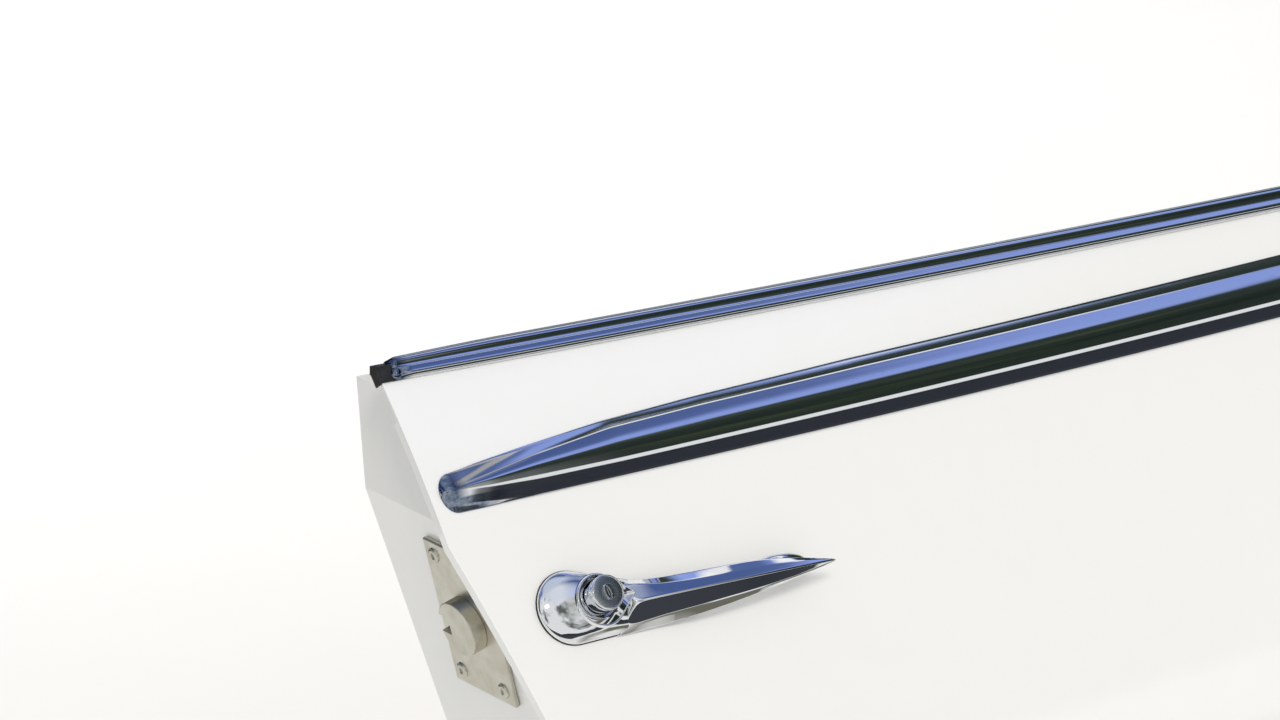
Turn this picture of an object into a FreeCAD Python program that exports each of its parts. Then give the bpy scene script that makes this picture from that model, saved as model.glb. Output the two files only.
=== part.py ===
"""Right-hand door of an open two-seat roadster, with its hinges.

Frame: X to the front of the car, Y to its left side (inboard of this door), Z up, in millimetres.
The origin is the middle of the four hinge bolts, on the face of the hinge pillar (x = 0).
The door's outer panel is a torus: a section of two tangent arcs, turned about a far upright axis.
The belt moulding, the glass, the inner wall and all that sits on them follow one belt arc.
"""
import FreeCAD, Part
import Sketcher
import math
import os
import re
from types import SimpleNamespace
from FreeCAD import Placement, Rotation, Vector

NODE_FOLDER = "parts"

SIZES = (
    # name, size in millimetres or degrees
    # outer panel
    ("plan_radius", 8000),
    ("plan_middle", 500),
    ("upper_radius", 700),
    ("lower_radius", 380),
    ("junction_out", 87.5),
    ("junction_height", 141),
    ("junction_tilt", 28),
    ("skin_thickness", 1.6),
    ("hem_width", 11),
    ("flange_play", 0.1),
    # side outline
    ("skin_front", 12),
    ("skin_drop", 155),
    ("kink_back", 1046),
    ("foot_inset", 99.3),
    ("belt_inset", 2),
    ("belt_height", 292.6),
    ("belt_rear_rise", 10.7),
    ("belt_front_drop", 13.1),
    ("kink_drop", 58.6),
    ("corner_radius", 50),
    ("edge_overrun", 60),
    ("skin_rise", 6.5),
    # pressed inner frame
    ("frame_thickness", 2),
    ("frame_corner", 20),
    ("flange_drop", 16),
    ("rear_setback", 16),
    ("floor_setback", 12),
    ("wall_top_in", 48),
    ("wall_top_down", 12),
    ("wall_foot_in", -22),
    ("ledge_width", 18),
    # hinges
    ("hinge_spacing", 200),
    ("hinge_axis_back", 52),
    ("hinge_axis_out", 62),
    ("pin_radius", 5),
    ("pin_play", 0.05),
    ("pin_head_radius", 8),
    ("pin_head_height", 3),
    ("knuckle_radius", 9),
    ("knuckle_height", 28),
    ("knuckle_gap", 0.5),
    ("ear_height", 12),
    ("leaf_thickness", 5),
    ("leaf_height", 60),
    ("leaf_inner", 22),
    ("leaf_outer", 74),
    ("swing_gap", 5),
    ("plate_thickness", 6),
    ("plate_width", 64),
    ("plate_height", 54),
    ("arm_root_inner", 2),
    ("arm_root_outer", 14),
    ("pillar_bolt_spacing", 36),
    ("pillar_bolt_radius", 4.5),
    # belt moulding and glass
    ("moulding_wall", 1.2),
    ("moulding_span", 13.2),
    ("seat_gap", 0.2),
    ("bead_radius", 3.5),
    ("lip_width", 3),
    ("lip_depth", 9),
    ("end_rubber_length", 11),
    ("moulding_front", 14),
    ("glass_thickness", 4),
    ("glass_in", 18),
    ("glass_depth", 190),
    ("glass_top", 4),
    ("glass_rear_margin", 60),
    ("glass_front", 92),
    ("seal_gap", 0.3),
    ("seal_lip", 1),
    ("inner_seal_drop", 2),
    ("inner_seal_width", 3),
    ("inner_seal_margin", 4),
    ("ledge_drop", 4),
    ("channel_wall", 1.5),
    ("channel_grip", 10),
    ("channel_overrun", 4),
    # capping and trim
    ("card_thickness", 3),
    ("card_margin", 12),
    ("roll_rise", 9),
    ("roll_skirt", 26),
    ("roll_overhang", 9),
    ("card_corner", 20),
    ("armrest_front", 430),
    ("armrest_back", 740),
    ("armrest_down", 150),
    ("armrest_height", 52),
    ("armrest_depth", 46),
    ("armrest_edge", 10),
    ("armrest_undercut", 22),
    ("armrest_foot", 12),
    ("kick_height", 42),
    ("kick_thickness", 2.5),
    ("kick_margin", 20),
    ("kick_rise", 8),
    # rub strip
    ("strip_drop", 45.6),
    ("strip_tall", 26.7),
    ("strip_end_gap", 6.5),
    ("strip_end_radius", 8),
    ("strip_front", 14),
    ("strip_edge", 1),
    ("strip_ridge", 5.5),
    ("strip_crown", 7.2),
    ("strip_seat", 2),
    ("lower_flange", 5.2),
    ("upper_flange", 5.9),
    # outside handle
    ("handle_setback", 67),
    ("handle_drop", 93.1),
    ("handle_slope", 1.5),
    ("gasket_thickness", 0.8),
    ("gasket_margin", 0.9),
    ("dish_radius", 19),
    ("dish_thickness", 2.4),
    ("dish_back", 13.5),
    ("dish_low", 1.5),
    ("nose_front", 50),
    ("nose_low", 10.5),
    ("nose_radius", 7.5),
    ("collar_low", 1.8),
    ("collar_flare", 2),
    ("collar_radius", 13.5),
    ("collar_height", 8.5),
    ("button_radius", 9.15),
    ("button_play", 0.3),
    ("button_height", 17),
    ("lock_radius", 7.2),
    ("lock_depth", 3),
    ("lock_proud", 0.4),
    ("key_slot_length", 7),
    ("key_slot_width", 2.5),
    ("blade_low", 6.8),
    ("foot_reach", 108),
    ("foot_low", 2.8),
    ("foot_radius", 6),
    ("foot_height", 13),
    # inside fittings
    ("winder_back", 330),
    ("winder_down", 175),
    ("winder_plate_radius", 24),
    ("winder_plate_height", 4),
    ("winder_boss_radius", 11),
    ("winder_boss_height", 16),
    ("winder_arm_length", 92),
    ("winder_arm_width", 14),
    ("winder_arm_thickness", 6),
    ("knob_radius", 10),
    ("knob_length", 26),
    ("knob_neck_radius", 4),
    ("release_setback", 246),
    ("release_down", 95),
    ("release_plate_length", 66),
    ("release_plate_width", 38),
    ("release_plate_height", 4),
    ("lever_boss_radius", 10),
    ("lever_boss_height", 14),
    ("lever_length", 78),
    ("lever_width", 13),
    ("lever_thickness", 5),
    ("pull_back", 585),
    ("pull_down", 92),
    ("pull_length", 190),
    ("pull_foot", 20),
    ("pull_rise", 30),
    ("pull_strap", 8),
    ("pull_width", 24),
    ("fitting_lift", 0.15),
    # rear face
    ("latch_height", 178),
    ("latch_in", 12),
    ("latch_width", 52),
    ("latch_tall", 84),
    ("latch_plate", 3),
    ("claw_radius", 15),
    ("claw_hub_radius", 6),
    ("claw_thickness", 8),
    ("claw_mouth", 9),
    ("wedge_height", 70),
    ("wedge_in", -8),
    ("wedge_width", 24),
    ("wedge_tall", 46),
    ("wedge_depth", 11),
    ("buffer_radius", 9),
    ("buffer_depth", 9),
    ("buffer_lower", -90),
    ("buffer_in", 26),
)

doc = FreeCAD.newDocument("roadster_door")
sheet = doc.addObject("Spreadsheet::Sheet", "Sizes")
for row, (alias, number) in enumerate(SIZES, start=1):
    sheet.set("A%d" % row, alias)
    sheet.set("B%d" % row, str(number))
    sheet.setAlias("B%d" % row, alias)
doc.recompute()
mm = SimpleNamespace(**{alias: float(getattr(sheet, alias)) for alias, number in SIZES})
ALIASES = [alias for alias, number in SIZES]
nodes = []


def bound(text):
    """An expression on the sheet, from text that names its cells plainly."""
    names = "|".join(sorted(ALIASES, key=len, reverse=True))
    return re.sub(r"\b(%s)\b" % names, r"Sizes.\1", text)


def size_of(text):
    """The number that an expression on the sheet gives now."""
    return float(sheet.evalExpression(bound(text)))


def keep(item, name):
    """Take an object into the part as the sub-part of that name."""
    item.Label = name
    nodes.append(item)
    return item


def solid_node(name, shape):
    """A sub-part with a computed shape."""
    item = doc.addObject("Part::Feature", name)
    item.Shape = shape
    item.Placement = Placement()
    return keep(item, name)


def new_body(name):
    body = doc.addObject("PartDesign::Body", name)
    return keep(body, name)


def new_sketch(body, role, lift="0"):
    """A sketch on one of the body's own planes, lifted along the plane's normal."""
    plane = [item for item in body.Origin.OriginFeatures if item.Role == role][0]
    sketch = body.newObject("Sketcher::SketchObject", body.Name + "_sketch")
    sketch.AttachmentSupport = [(plane, "")]
    sketch.MapMode = "FlatFace"
    sketch.setExpression("AttachmentOffset.Base.z", bound(lift))
    return sketch


def place_point(sketch, geometry, point, where):
    """Tie one point of a sketch to its two coordinates."""
    for kind, text in zip(("DistanceX", "DistanceY"), where):
        index = sketch.addConstraint(Sketcher.Constraint(kind, -1, 1, geometry, point, size_of(text)))
        sketch.setExpression("Constraints[%d]" % index, bound(text))


def add_polygon(sketch, corners):
    """A closed outline through corners given as pairs of expressions."""
    spots = [Vector(size_of(u), size_of(v), 0) for u, v in corners]
    first = sketch.GeometryCount
    count = len(spots)
    for index in range(count):
        sketch.addGeometry(Part.LineSegment(spots[index], spots[(index + 1) % count]), False)
    for index in range(count):
        after = first + (index + 1) % count
        sketch.addConstraint(Sketcher.Constraint("Coincident", first + index, 2, after, 1))
    for index, corner in enumerate(corners):
        place_point(sketch, first + index, 1, corner)


def add_circle(sketch, centre, radius):
    """A circle whose centre and radius are expressions."""
    spot = Vector(size_of(centre[0]), size_of(centre[1]), 0)
    geometry = sketch.addGeometry(Part.Circle(spot, Vector(0, 0, 1), size_of(radius)), False)
    place_point(sketch, geometry, 3, centre)
    index = sketch.addConstraint(Sketcher.Constraint("Radius", geometry, size_of(radius)))
    sketch.setExpression("Constraints[%d]" % index, bound(radius))


def add_rectangle(sketch, low, high):
    add_polygon(sketch, (low, (high[0], low[1]), high, (low[0], high[1])))


def pad(body, sketch, length, both_ways=False, back=False):
    feature = body.newObject("PartDesign::Pad", body.Name + "_pad")
    feature.Profile = sketch
    feature.Midplane = both_ways
    feature.Reversed = back
    feature.setExpression("Length", bound(length))
    doc.recompute()
    return feature


def pocket(body, sketch, depth, both_ways=True, back=False):
    feature = body.newObject("PartDesign::Pocket", body.Name + "_pocket")
    before = body.Shape.Volume
    feature.Profile = sketch
    feature.Midplane = both_ways
    feature.Reversed = back
    feature.setExpression("Length", bound(depth))
    doc.recompute()
    if not body.Shape.Volume < before:
        raise ValueError(body.Label + ": a pocket cuts nothing")
    return feature


# Places that follow from the sizes

BELT_BACK = mm.kink_back - mm.belt_inset
FOOT_BACK = mm.kink_back - mm.foot_inset
KINK_HEIGHT = mm.belt_height - mm.kink_drop
BELT_REAR_HEIGHT = mm.belt_height + mm.belt_rear_rise
BELT_FRONT_HEIGHT = mm.belt_height - mm.belt_front_drop
MOULDING_BACK = BELT_BACK - mm.end_rubber_length
GLASS_BACK = BELT_BACK - mm.glass_rear_margin
STRIP_LOW = mm.belt_height - mm.strip_drop
STRIP_HIGH = STRIP_LOW + mm.strip_tall
STRIP_BACK = mm.kink_back - mm.strip_end_gap
HANDLE_BACK = mm.kink_back - mm.handle_setback
HANDLE_HEIGHT = mm.belt_height - mm.handle_drop
FRAME_FRONT = -(mm.hinge_axis_back + mm.knuckle_radius + mm.swing_gap + mm.leaf_thickness)
FRAME_REAR = -BELT_BACK + mm.rear_setback + mm.frame_thickness
FRAME_FLOOR = -mm.skin_drop + mm.floor_setback
FRAME_CORNER = mm.corner_radius - mm.floor_setback
HINGES = (("upper", 1), ("lower", -1))


# Outer panel: the torus and places on it

ROOT = math.radians(mm.junction_tilt)
JUNCTION = (-mm.junction_out, mm.junction_height)
UPPER_CENTRE = (JUNCTION[0] + mm.upper_radius * math.cos(ROOT), JUNCTION[1] - mm.upper_radius * math.sin(ROOT))
LOWER_CENTRE = (JUNCTION[0] + mm.lower_radius * math.cos(ROOT), JUNCTION[1] - mm.lower_radius * math.sin(ROOT))
PLAN_AXIS = Vector(-mm.plan_middle, mm.plan_radius, 0)
UP = Vector(0, 0, 1)
FAR = mm.plan_radius / 20
LOW = -mm.skin_drop - mm.edge_overrun
HIGH = BELT_REAR_HEIGHT + mm.edge_overrun


def section_out(height, inset=0):
    """Y of the panel's section at a height, inset from the outer surface, in the plane of plan_middle."""
    upper = height > junction_height(inset)
    centre, radius = (UPPER_CENTRE, mm.upper_radius) if upper else (LOWER_CENTRE, mm.lower_radius)
    return centre[0] - math.sqrt((radius - inset) ** 2 - (height - centre[1]) ** 2)


def junction_height(inset):
    return mm.junction_height - inset * math.sin(ROOT)


def skin_point(along, height, inset=0):
    """A point of the panel's surface from its x and z."""
    reach = mm.plan_radius - section_out(height, inset)
    return Vector(along, mm.plan_radius - math.sqrt(reach ** 2 - (along + mm.plan_middle) ** 2), height)


def skin_normal(along, height):
    """The panel's outward normal."""
    centre, radius = (UPPER_CENTRE, mm.upper_radius) if height > mm.junction_height else (LOWER_CENTRE, mm.lower_radius)
    rise = (height - centre[1]) / radius
    away = skin_point(along, height) - PLAN_AXIS
    away.z = 0
    away.normalize()
    return away * math.sqrt(1 - rise ** 2) + UP * rise


def arc_edge(start, middle, end):
    return Part.Arc(start, middle, end).toShape()


def line_edge(start, end):
    return Part.makeLine(start, end)


def section_edges(inset, low, high):
    """The section's two arcs at an inset, from the low height up."""
    def spot(height):
        return Vector(-mm.plan_middle, section_out(height, inset), height)
    knee = junction_height(inset)
    return [
        arc_edge(spot(low), spot((low + knee) / 2), spot(knee)),
        arc_edge(spot(knee), spot((knee + high) / 2), spot(high)),
    ]


def turn(face, half_angle=5.0):
    """Turn a face in the plane of plan_middle both ways about the plan axis."""
    face = face.copy()
    face.rotate(PLAN_AXIS, UP, -half_angle)
    return face.revolve(PLAN_AXIS, UP, 2 * half_angle)


def behind_skin(inset):
    """All that lies inboard of the panel's surface at an inset."""
    edges = section_edges(inset, LOW, HIGH)
    top_in = Vector(-mm.plan_middle, FAR, HIGH)
    low_in = Vector(-mm.plan_middle, FAR, LOW)
    edges += [line_edge(edges[-1].Vertexes[-1].Point, top_in), line_edge(top_in, low_in),
              line_edge(low_in, edges[0].Vertexes[0].Point)]
    return turn(Part.Face(Part.Wire(Part.__sortEdges__(edges))))


def skin_layer(from_inset, to_inset):
    """A curved sheet between two insets of the panel's surface."""
    outer = section_edges(from_inset, LOW, HIGH)
    inner = section_edges(to_inset, LOW, HIGH)
    edges = outer + inner
    edges.append(line_edge(outer[0].Vertexes[0].Point, inner[0].Vertexes[0].Point))
    edges.append(line_edge(outer[-1].Vertexes[-1].Point, inner[-1].Vertexes[-1].Point))
    return turn(Part.Face(Part.Wire(Part.__sortEdges__(edges))))


def side_prism(edges):
    """A closed outline in the XZ plane, carried right through the door along Y."""
    wire = Part.Wire(Part.__sortEdges__(edges))
    wire.translate(Vector(0, -FAR, 0))
    return Part.Face(wire).extrude(Vector(0, 2 * FAR, 0))


def belt_circle(lift=0):
    """The belt's arc seen from the side, lifted, in the XZ plane."""
    return Part.Arc(
        Vector(-BELT_BACK, 0, BELT_REAR_HEIGHT + lift),
        Vector(-mm.plan_middle, 0, mm.belt_height + lift),
        Vector(-mm.skin_front, 0, BELT_FRONT_HEIGHT + lift)).toShape().Curve


def on_circle(circle, along):
    """The upper point of a circle in the XZ plane at x."""
    return Vector(along, 0, circle.Center.z + math.sqrt(circle.Radius ** 2 - (along - circle.Center.x) ** 2))


def door_outline(front, drop, setback, lift, corners):
    """Edges of a side outline.

    It has a front x, a bottom z, a setback from the rear shut line, a lift over the belt and the radii of its
    front and rear lower corners.
    """
    tall = KINK_HEIGHT + mm.skin_drop
    slant = mm.foot_inset / tall
    shift = setback * math.hypot(1, slant)
    foot = Vector(-FOOT_BACK - slant * (drop + mm.skin_drop) + shift, 0, drop)
    kink = Vector(-mm.kink_back + shift, 0, KINK_HEIGHT)
    lean = mm.belt_inset / (BELT_REAR_HEIGHT - KINK_HEIGHT)
    circle = belt_circle(lift)
    rear_top = on_circle(circle, kink.x + lean * (BELT_REAR_HEIGHT + lift - KINK_HEIGHT))
    top_front = on_circle(circle, front)
    edges = [arc_edge(rear_top, on_circle(circle, (rear_top.x + front) / 2), top_front)]
    edges += rounded_path([top_front, Vector(front, 0, drop), foot, kink], corners)
    edges.append(line_edge(kink, rear_top))
    return edges


def rounded_path(points, radii):
    """Straight runs through points, with an arc at each inner corner."""
    edges = []
    start = points[0]
    for before, corner, after, radius in zip(points, points[1:], points[2:], radii):
        come = (before - corner).normalize()
        leave = (after - corner).normalize()
        half = come.getAngle(leave) / 2
        reach = radius / math.tan(half)
        bisector = (come + leave).normalize()
        centre = corner + bisector * (radius / math.sin(half))
        entry, leaving = corner + come * reach, corner + leave * reach
        edges.append(line_edge(start, entry))
        edges.append(arc_edge(entry, centre - bisector * radius, leaving))
        start = leaving
    edges.append(line_edge(start, points[-1]))
    return edges


# Belt: one arc through three points of the outer panel

BELT_REAR = skin_point(-BELT_BACK, BELT_REAR_HEIGHT)
BELT_MIDDLE = skin_point(-mm.plan_middle, mm.belt_height)
BELT_FRONT = skin_point(-mm.skin_front, BELT_FRONT_HEIGHT)
BELT = Part.Arc(BELT_REAR, BELT_MIDDLE, BELT_FRONT).toShape().Curve
BELT_CENTRE = BELT.Center
BELT_AXIS = BELT.Axis if BELT.Axis.z > 0 else BELT.Axis * -1
INWARD = (BELT_CENTRE - BELT_MIDDLE).normalize()
FORWARD = INWARD.cross(BELT_AXIS)
BELT_UP = (UP - FORWARD * UP.dot(FORWARD)).normalize()
BELT_IN = BELT_UP.cross(FORWARD)


def belt_spot(inboard, up):
    """A point of the belt's middle section from its distances inboard of and above the belt's lower edge."""
    return BELT_MIDDLE + BELT_IN * inboard + BELT_UP * up


def belt_angle(along):
    """Turn about the belt's axis that takes the middle section to x, in degrees."""
    return math.degrees(math.asin((along + mm.plan_middle) / BELT.Radius))


def along_belt(face, rear, front):
    """Carry a face of the middle section along the belt's arc from x = rear to x = front."""
    face = face.copy()
    face.rotate(BELT_CENTRE, BELT_AXIS, belt_angle(rear))
    return face.revolve(BELT_CENTRE, BELT_AXIS, belt_angle(front) - belt_angle(rear))


def section_face(corners):
    """A face of straight and rounded edges: corners are (inboard, up) or (inboard, up, 'via') on an arc."""
    edges = []
    spots = list(corners) + [corners[0]]
    index = 0
    while index < len(spots) - 1:
        start, nearby = spots[index], spots[index + 1]
        if len(nearby) == 3:
            edges.append(arc_edge(belt_spot(*start[:2]), belt_spot(*nearby[:2]), belt_spot(*spots[index + 2][:2])))
            index += 2
        else:
            edges.append(line_edge(belt_spot(*start[:2]), belt_spot(*nearby[:2])))
            index += 1
    return Part.Face(Part.Wire(edges))


def tangent_frame():
    """Unit steps along and out of the panel at the belt, as (inboard, up) pairs."""
    normal = skin_normal(-mm.plan_middle, mm.belt_height)
    out = (normal.dot(BELT_IN), normal.dot(BELT_UP))
    return (out[1], -out[0]), out


ALONG_SKIN, OFF_SKIN = tangent_frame()


def on_skin(climb, off):
    """(inboard, up) of a place that lies a climb up the panel from the belt's lower edge, and off it."""
    return (climb * ALONG_SKIN[0] + off * OFF_SKIN[0], climb * ALONG_SKIN[1] + off * OFF_SKIN[1])


# Inner wall: straight in section, from under the capping to the floor

WALL_TOP = (mm.wall_top_in, -mm.wall_top_down)
WALL_HEIGHT = mm.belt_height - mm.wall_top_down + mm.skin_drop
WALL_FOOT = (mm.wall_foot_in, -mm.wall_top_down - WALL_HEIGHT)
WALL_RUN = math.hypot(WALL_FOOT[0] - WALL_TOP[0], WALL_FOOT[1] - WALL_TOP[1])
WALL_DOWN = ((WALL_FOOT[0] - WALL_TOP[0]) / WALL_RUN, (WALL_FOOT[1] - WALL_TOP[1]) / WALL_RUN)
WALL_OUT = (-WALL_DOWN[1], WALL_DOWN[0])


def on_wall(down, off):
    """(inboard, up) of a place down the inner wall from its top and inboard of its face."""
    return (WALL_TOP[0] + down * WALL_DOWN[0] + off * WALL_OUT[0],
            WALL_TOP[1] + down * WALL_DOWN[1] + off * WALL_OUT[1])


def wall_placement(along, down, off):
    """Where a fitting sits on the inner wall: its X forward, Y inboard and Z up the wall."""
    spot = belt_spot(*on_wall(down, off))
    inboard = BELT_IN * WALL_OUT[0] + BELT_UP * WALL_OUT[1]
    climb = (BELT_IN * WALL_DOWN[0] + BELT_UP * WALL_DOWN[1]) * -1
    here = Placement(spot, Rotation(FORWARD, inboard, climb, "ZXY"))
    turned = Placement(Vector(), Rotation(BELT_AXIS, belt_angle(along)), BELT_CENTRE)
    return turned.multiply(here)


def inside_door(setback, ledge):
    """All that lies outboard of the inner wall's face, set back from it, and below the belt's ledge."""
    foot = on_wall(WALL_RUN + 2 * mm.edge_overrun, -setback)
    brow = on_wall(setback / WALL_OUT[0], -setback)
    corners = [foot, brow]
    if ledge:
        edge = WALL_TOP[0] - mm.ledge_width
        corners += [(edge, brow[1]), (edge, FAR / 4), (-FAR, FAR / 4)]
    else:
        corners.append((-FAR, brow[1]))
    corners.append((-FAR, foot[1]))
    return along_belt(section_face(corners), -mm.kink_back - mm.edge_overrun, mm.edge_overrun)


def above_belt(drop):
    """All that lies above the belt's lower edge less a drop."""
    circle = belt_circle(-drop)
    rear = on_circle(circle, -mm.kink_back - mm.edge_overrun)
    front = on_circle(circle, mm.edge_overrun)
    roof = [Vector(front.x, 0, FAR), Vector(rear.x, 0, FAR)]
    return side_prism([arc_edge(rear, on_circle(circle, -mm.plan_middle), front), line_edge(front, roof[0]),
                       line_edge(*roof), line_edge(roof[1], rear)])


def panel_outline(margin, lift):
    """The panel's side outline, drawn in by a margin."""
    return side_prism(door_outline(-mm.skin_front - margin, -mm.skin_drop + margin, margin, lift,
                                   (mm.corner_radius - margin, mm.corner_radius - margin)))


def make_outer_skin():
    """The panel with its edge hemmed round the inner frame's flange."""
    metal = mm.skin_thickness
    slot_width = mm.frame_thickness + 2 * mm.flange_play
    hem = 2 * metal + slot_width
    thick = skin_layer(0, hem).common(panel_outline(0, mm.skin_rise))
    behind = skin_layer(metal, hem + metal)
    slot = skin_layer(metal, metal + slot_width)
    thick = thick.cut(behind.common(panel_outline(mm.hem_width, mm.edge_overrun)))
    thick = thick.cut(behind.common(above_belt(mm.flange_drop)))
    thick = thick.cut(slot.common(panel_outline(metal, mm.edge_overrun)))
    solid_node("outer_skin", thick.removeSplitter())


def frame_outline(wall, lift):
    """The inner frame's side outline, drawn in by a wall."""
    return side_prism(door_outline(FRAME_FRONT - wall, FRAME_FLOOR + wall, mm.rear_setback + wall, lift,
                                   (mm.frame_corner - wall, FRAME_CORNER - wall)))


def make_inner_frame():
    """A pressed tray: inner wall with a ledge, front, rear and floor, and a flange that lies on the skin."""
    wall = mm.frame_thickness
    seat = mm.skin_thickness + mm.flange_play
    behind = behind_skin(seat)
    block = frame_outline(0, mm.edge_overrun).common(behind).common(inside_door(0, False))
    cavity = frame_outline(wall, 2 * mm.edge_overrun).common(inside_door(wall, True))
    flange = skin_layer(seat, seat + wall).common(panel_outline(seat, -mm.flange_drop))
    window = frame_outline(wall / 2, mm.edge_overrun)
    solid_node("inner_frame", block.cut(cavity).fuse(flange.cut(window)).removeSplitter())


make_outer_skin()
make_inner_frame()


def make_pillar_bracket(name, side):
    """A plate on the pillar with a cranked arm out to the pin."""
    body = new_body("hinge_pillar_bracket_" + name)
    plate = new_sketch(body, "XY_Plane")
    add_rectangle(plate, ("-plate_thickness", "-plate_width / 2"), ("0", "plate_width / 2"))
    pad(body, plate, "plate_height", both_ways=True)
    arm = new_sketch(body, "XY_Plane")
    add_polygon(arm, (
        ("-plate_thickness / 2", "arm_root_inner"),
        ("-hinge_axis_back - knuckle_radius / 2", "-hinge_axis_out + knuckle_radius * 0.45"),
        ("-hinge_axis_back + knuckle_radius / 2", "-hinge_axis_out - knuckle_radius * 0.45"),
        ("-plate_thickness / 2", "-arm_root_outer")))
    pad(body, arm, "knuckle_height", both_ways=True)
    knuckle = new_sketch(body, "XY_Plane")
    add_circle(knuckle, ("-hinge_axis_back", "-hinge_axis_out"), "knuckle_radius")
    pad(body, knuckle, "knuckle_height", both_ways=True)
    bore = new_sketch(body, "XY_Plane")
    add_circle(bore, ("-hinge_axis_back", "-hinge_axis_out"), "pin_radius")
    pocket(body, bore, "knuckle_height * 2")
    bolts = new_sketch(body, "YZ_Plane")
    for sign in ("-", ""):
        add_circle(bolts, (sign + "pillar_bolt_spacing / 2", "0"), "pillar_bolt_radius")
    pocket(body, bolts, "plate_thickness * 4")
    body.setExpression("Placement.Base.z", bound("hinge_spacing / 2 * %d" % side))


def make_door_leaf(name, side):
    """A plate on the door's front face with two ears on the pin, above and below the arm."""
    body = new_body("hinge_door_leaf_" + name)
    back = "-hinge_axis_back - knuckle_radius - swing_gap"
    plate = new_sketch(body, "XY_Plane")
    add_rectangle(plate, (back + " - leaf_thickness", "-leaf_outer"), (back, "-leaf_inner"))
    pad(body, plate, "leaf_height", both_ways=True)
    for below in (False, True):
        level = "knuckle_height / 2 + knuckle_gap"
        if below:
            level = "-knuckle_height / 2 - knuckle_gap"
        web = new_sketch(body, "XY_Plane", level)
        add_rectangle(web, (back + " - leaf_thickness / 2", "-hinge_axis_out - knuckle_radius"),
                      ("-hinge_axis_back", "-hinge_axis_out + knuckle_radius"))
        pad(body, web, "ear_height", back=below)
        ear = new_sketch(body, "XY_Plane", level)
        add_circle(ear, ("-hinge_axis_back", "-hinge_axis_out"), "knuckle_radius")
        pad(body, ear, "ear_height", back=below)
    bore = new_sketch(body, "XY_Plane")
    add_circle(bore, ("-hinge_axis_back", "-hinge_axis_out"), "pin_radius + pin_play")
    pocket(body, bore, "leaf_height * 2")
    body.setExpression("Placement.Base.z", bound("hinge_spacing / 2 * %d" % side))


def make_hinge_pin(name, side):
    """A headed pin, fast in the arm and free in the ears."""
    body = new_body("hinge_pin_" + name)
    head_level = "knuckle_height / 2 + knuckle_gap * 2 + ear_height"
    shank = new_sketch(body, "XY_Plane", "-(" + head_level + ")")
    add_circle(shank, ("-hinge_axis_back", "-hinge_axis_out"), "pin_radius")
    pad(body, shank, "2 * (" + head_level + ")")
    head = new_sketch(body, "XY_Plane", head_level)
    add_circle(head, ("-hinge_axis_back", "-hinge_axis_out"), "pin_head_radius")
    pad(body, head, "pin_head_height")
    body.setExpression("Placement.Base.z", bound("hinge_spacing / 2 * %d" % side))


for hinge_name, hinge_side in HINGES:
    make_pillar_bracket(hinge_name, hinge_side)
    make_door_leaf(hinge_name, hinge_side)
    make_hinge_pin(hinge_name, hinge_side)


def make_belt_trim():
    """The bright moulding over the top edge, its rubber end block, the glass and both its seals."""
    bead, wall = 2 * mm.bead_radius, mm.moulding_wall
    lip = on_skin(mm.moulding_span, wall)
    inner = lip[0] + mm.lip_width
    foot = lip[1] - mm.lip_depth
    under = (on_skin(mm.moulding_span - wall, 2 * mm.seat_gap), on_skin(0, mm.seat_gap))
    back = (lip, (inner, lip[1] - wall / 2), (inner, foot), (inner - wall, foot),
            (inner - wall, lip[1] - wall * 1.5), under[0])
    crown = on_skin(mm.bead_radius, mm.bead_radius + mm.seat_gap) + ("via",)
    shape = section_face((under[1], crown, on_skin(bead, wall)) + back)
    solid_node("belt_moulding", along_belt(shape, -MOULDING_BACK, -mm.moulding_front))
    block = section_face((under[1], on_skin(0, wall)) + back)
    solid_node("belt_end_rubber", along_belt(block, -BELT_BACK, -MOULDING_BACK))

    glass_out = mm.glass_in + mm.glass_thickness
    run = mm.glass_depth * WALL_DOWN[0], mm.glass_depth * WALL_DOWN[1]
    pane = section_face((
        (mm.glass_in, mm.glass_top), (mm.glass_in + run[0], mm.glass_top + run[1]),
        (glass_out + run[0], mm.glass_top + run[1]), (glass_out, mm.glass_top)))
    solid_node("window_glass", along_belt(pane, -GLASS_BACK, -mm.glass_front))
    near = mm.glass_in - mm.seal_gap - mm.seal_lip
    seal = section_face((
        (inner, lip[1] - wall), (near, mm.glass_top + 2 * mm.seal_lip), (near, foot), (inner, foot)))
    solid_node("outer_glass_seal", along_belt(seal, FRAME_REAR, FRAME_FRONT))
    ledge = WALL_TOP[0] - mm.ledge_width
    far = glass_out + mm.seal_gap
    level = WALL_TOP[1] - mm.frame_thickness
    seal = section_face((
        (far, -mm.inner_seal_drop), (ledge, -mm.ledge_drop), (ledge, level), (far + mm.inner_seal_width, level)))
    margin = mm.inner_seal_margin
    solid_node("inner_glass_seal", along_belt(seal, FRAME_REAR + margin, FRAME_FRONT - margin))


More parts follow.
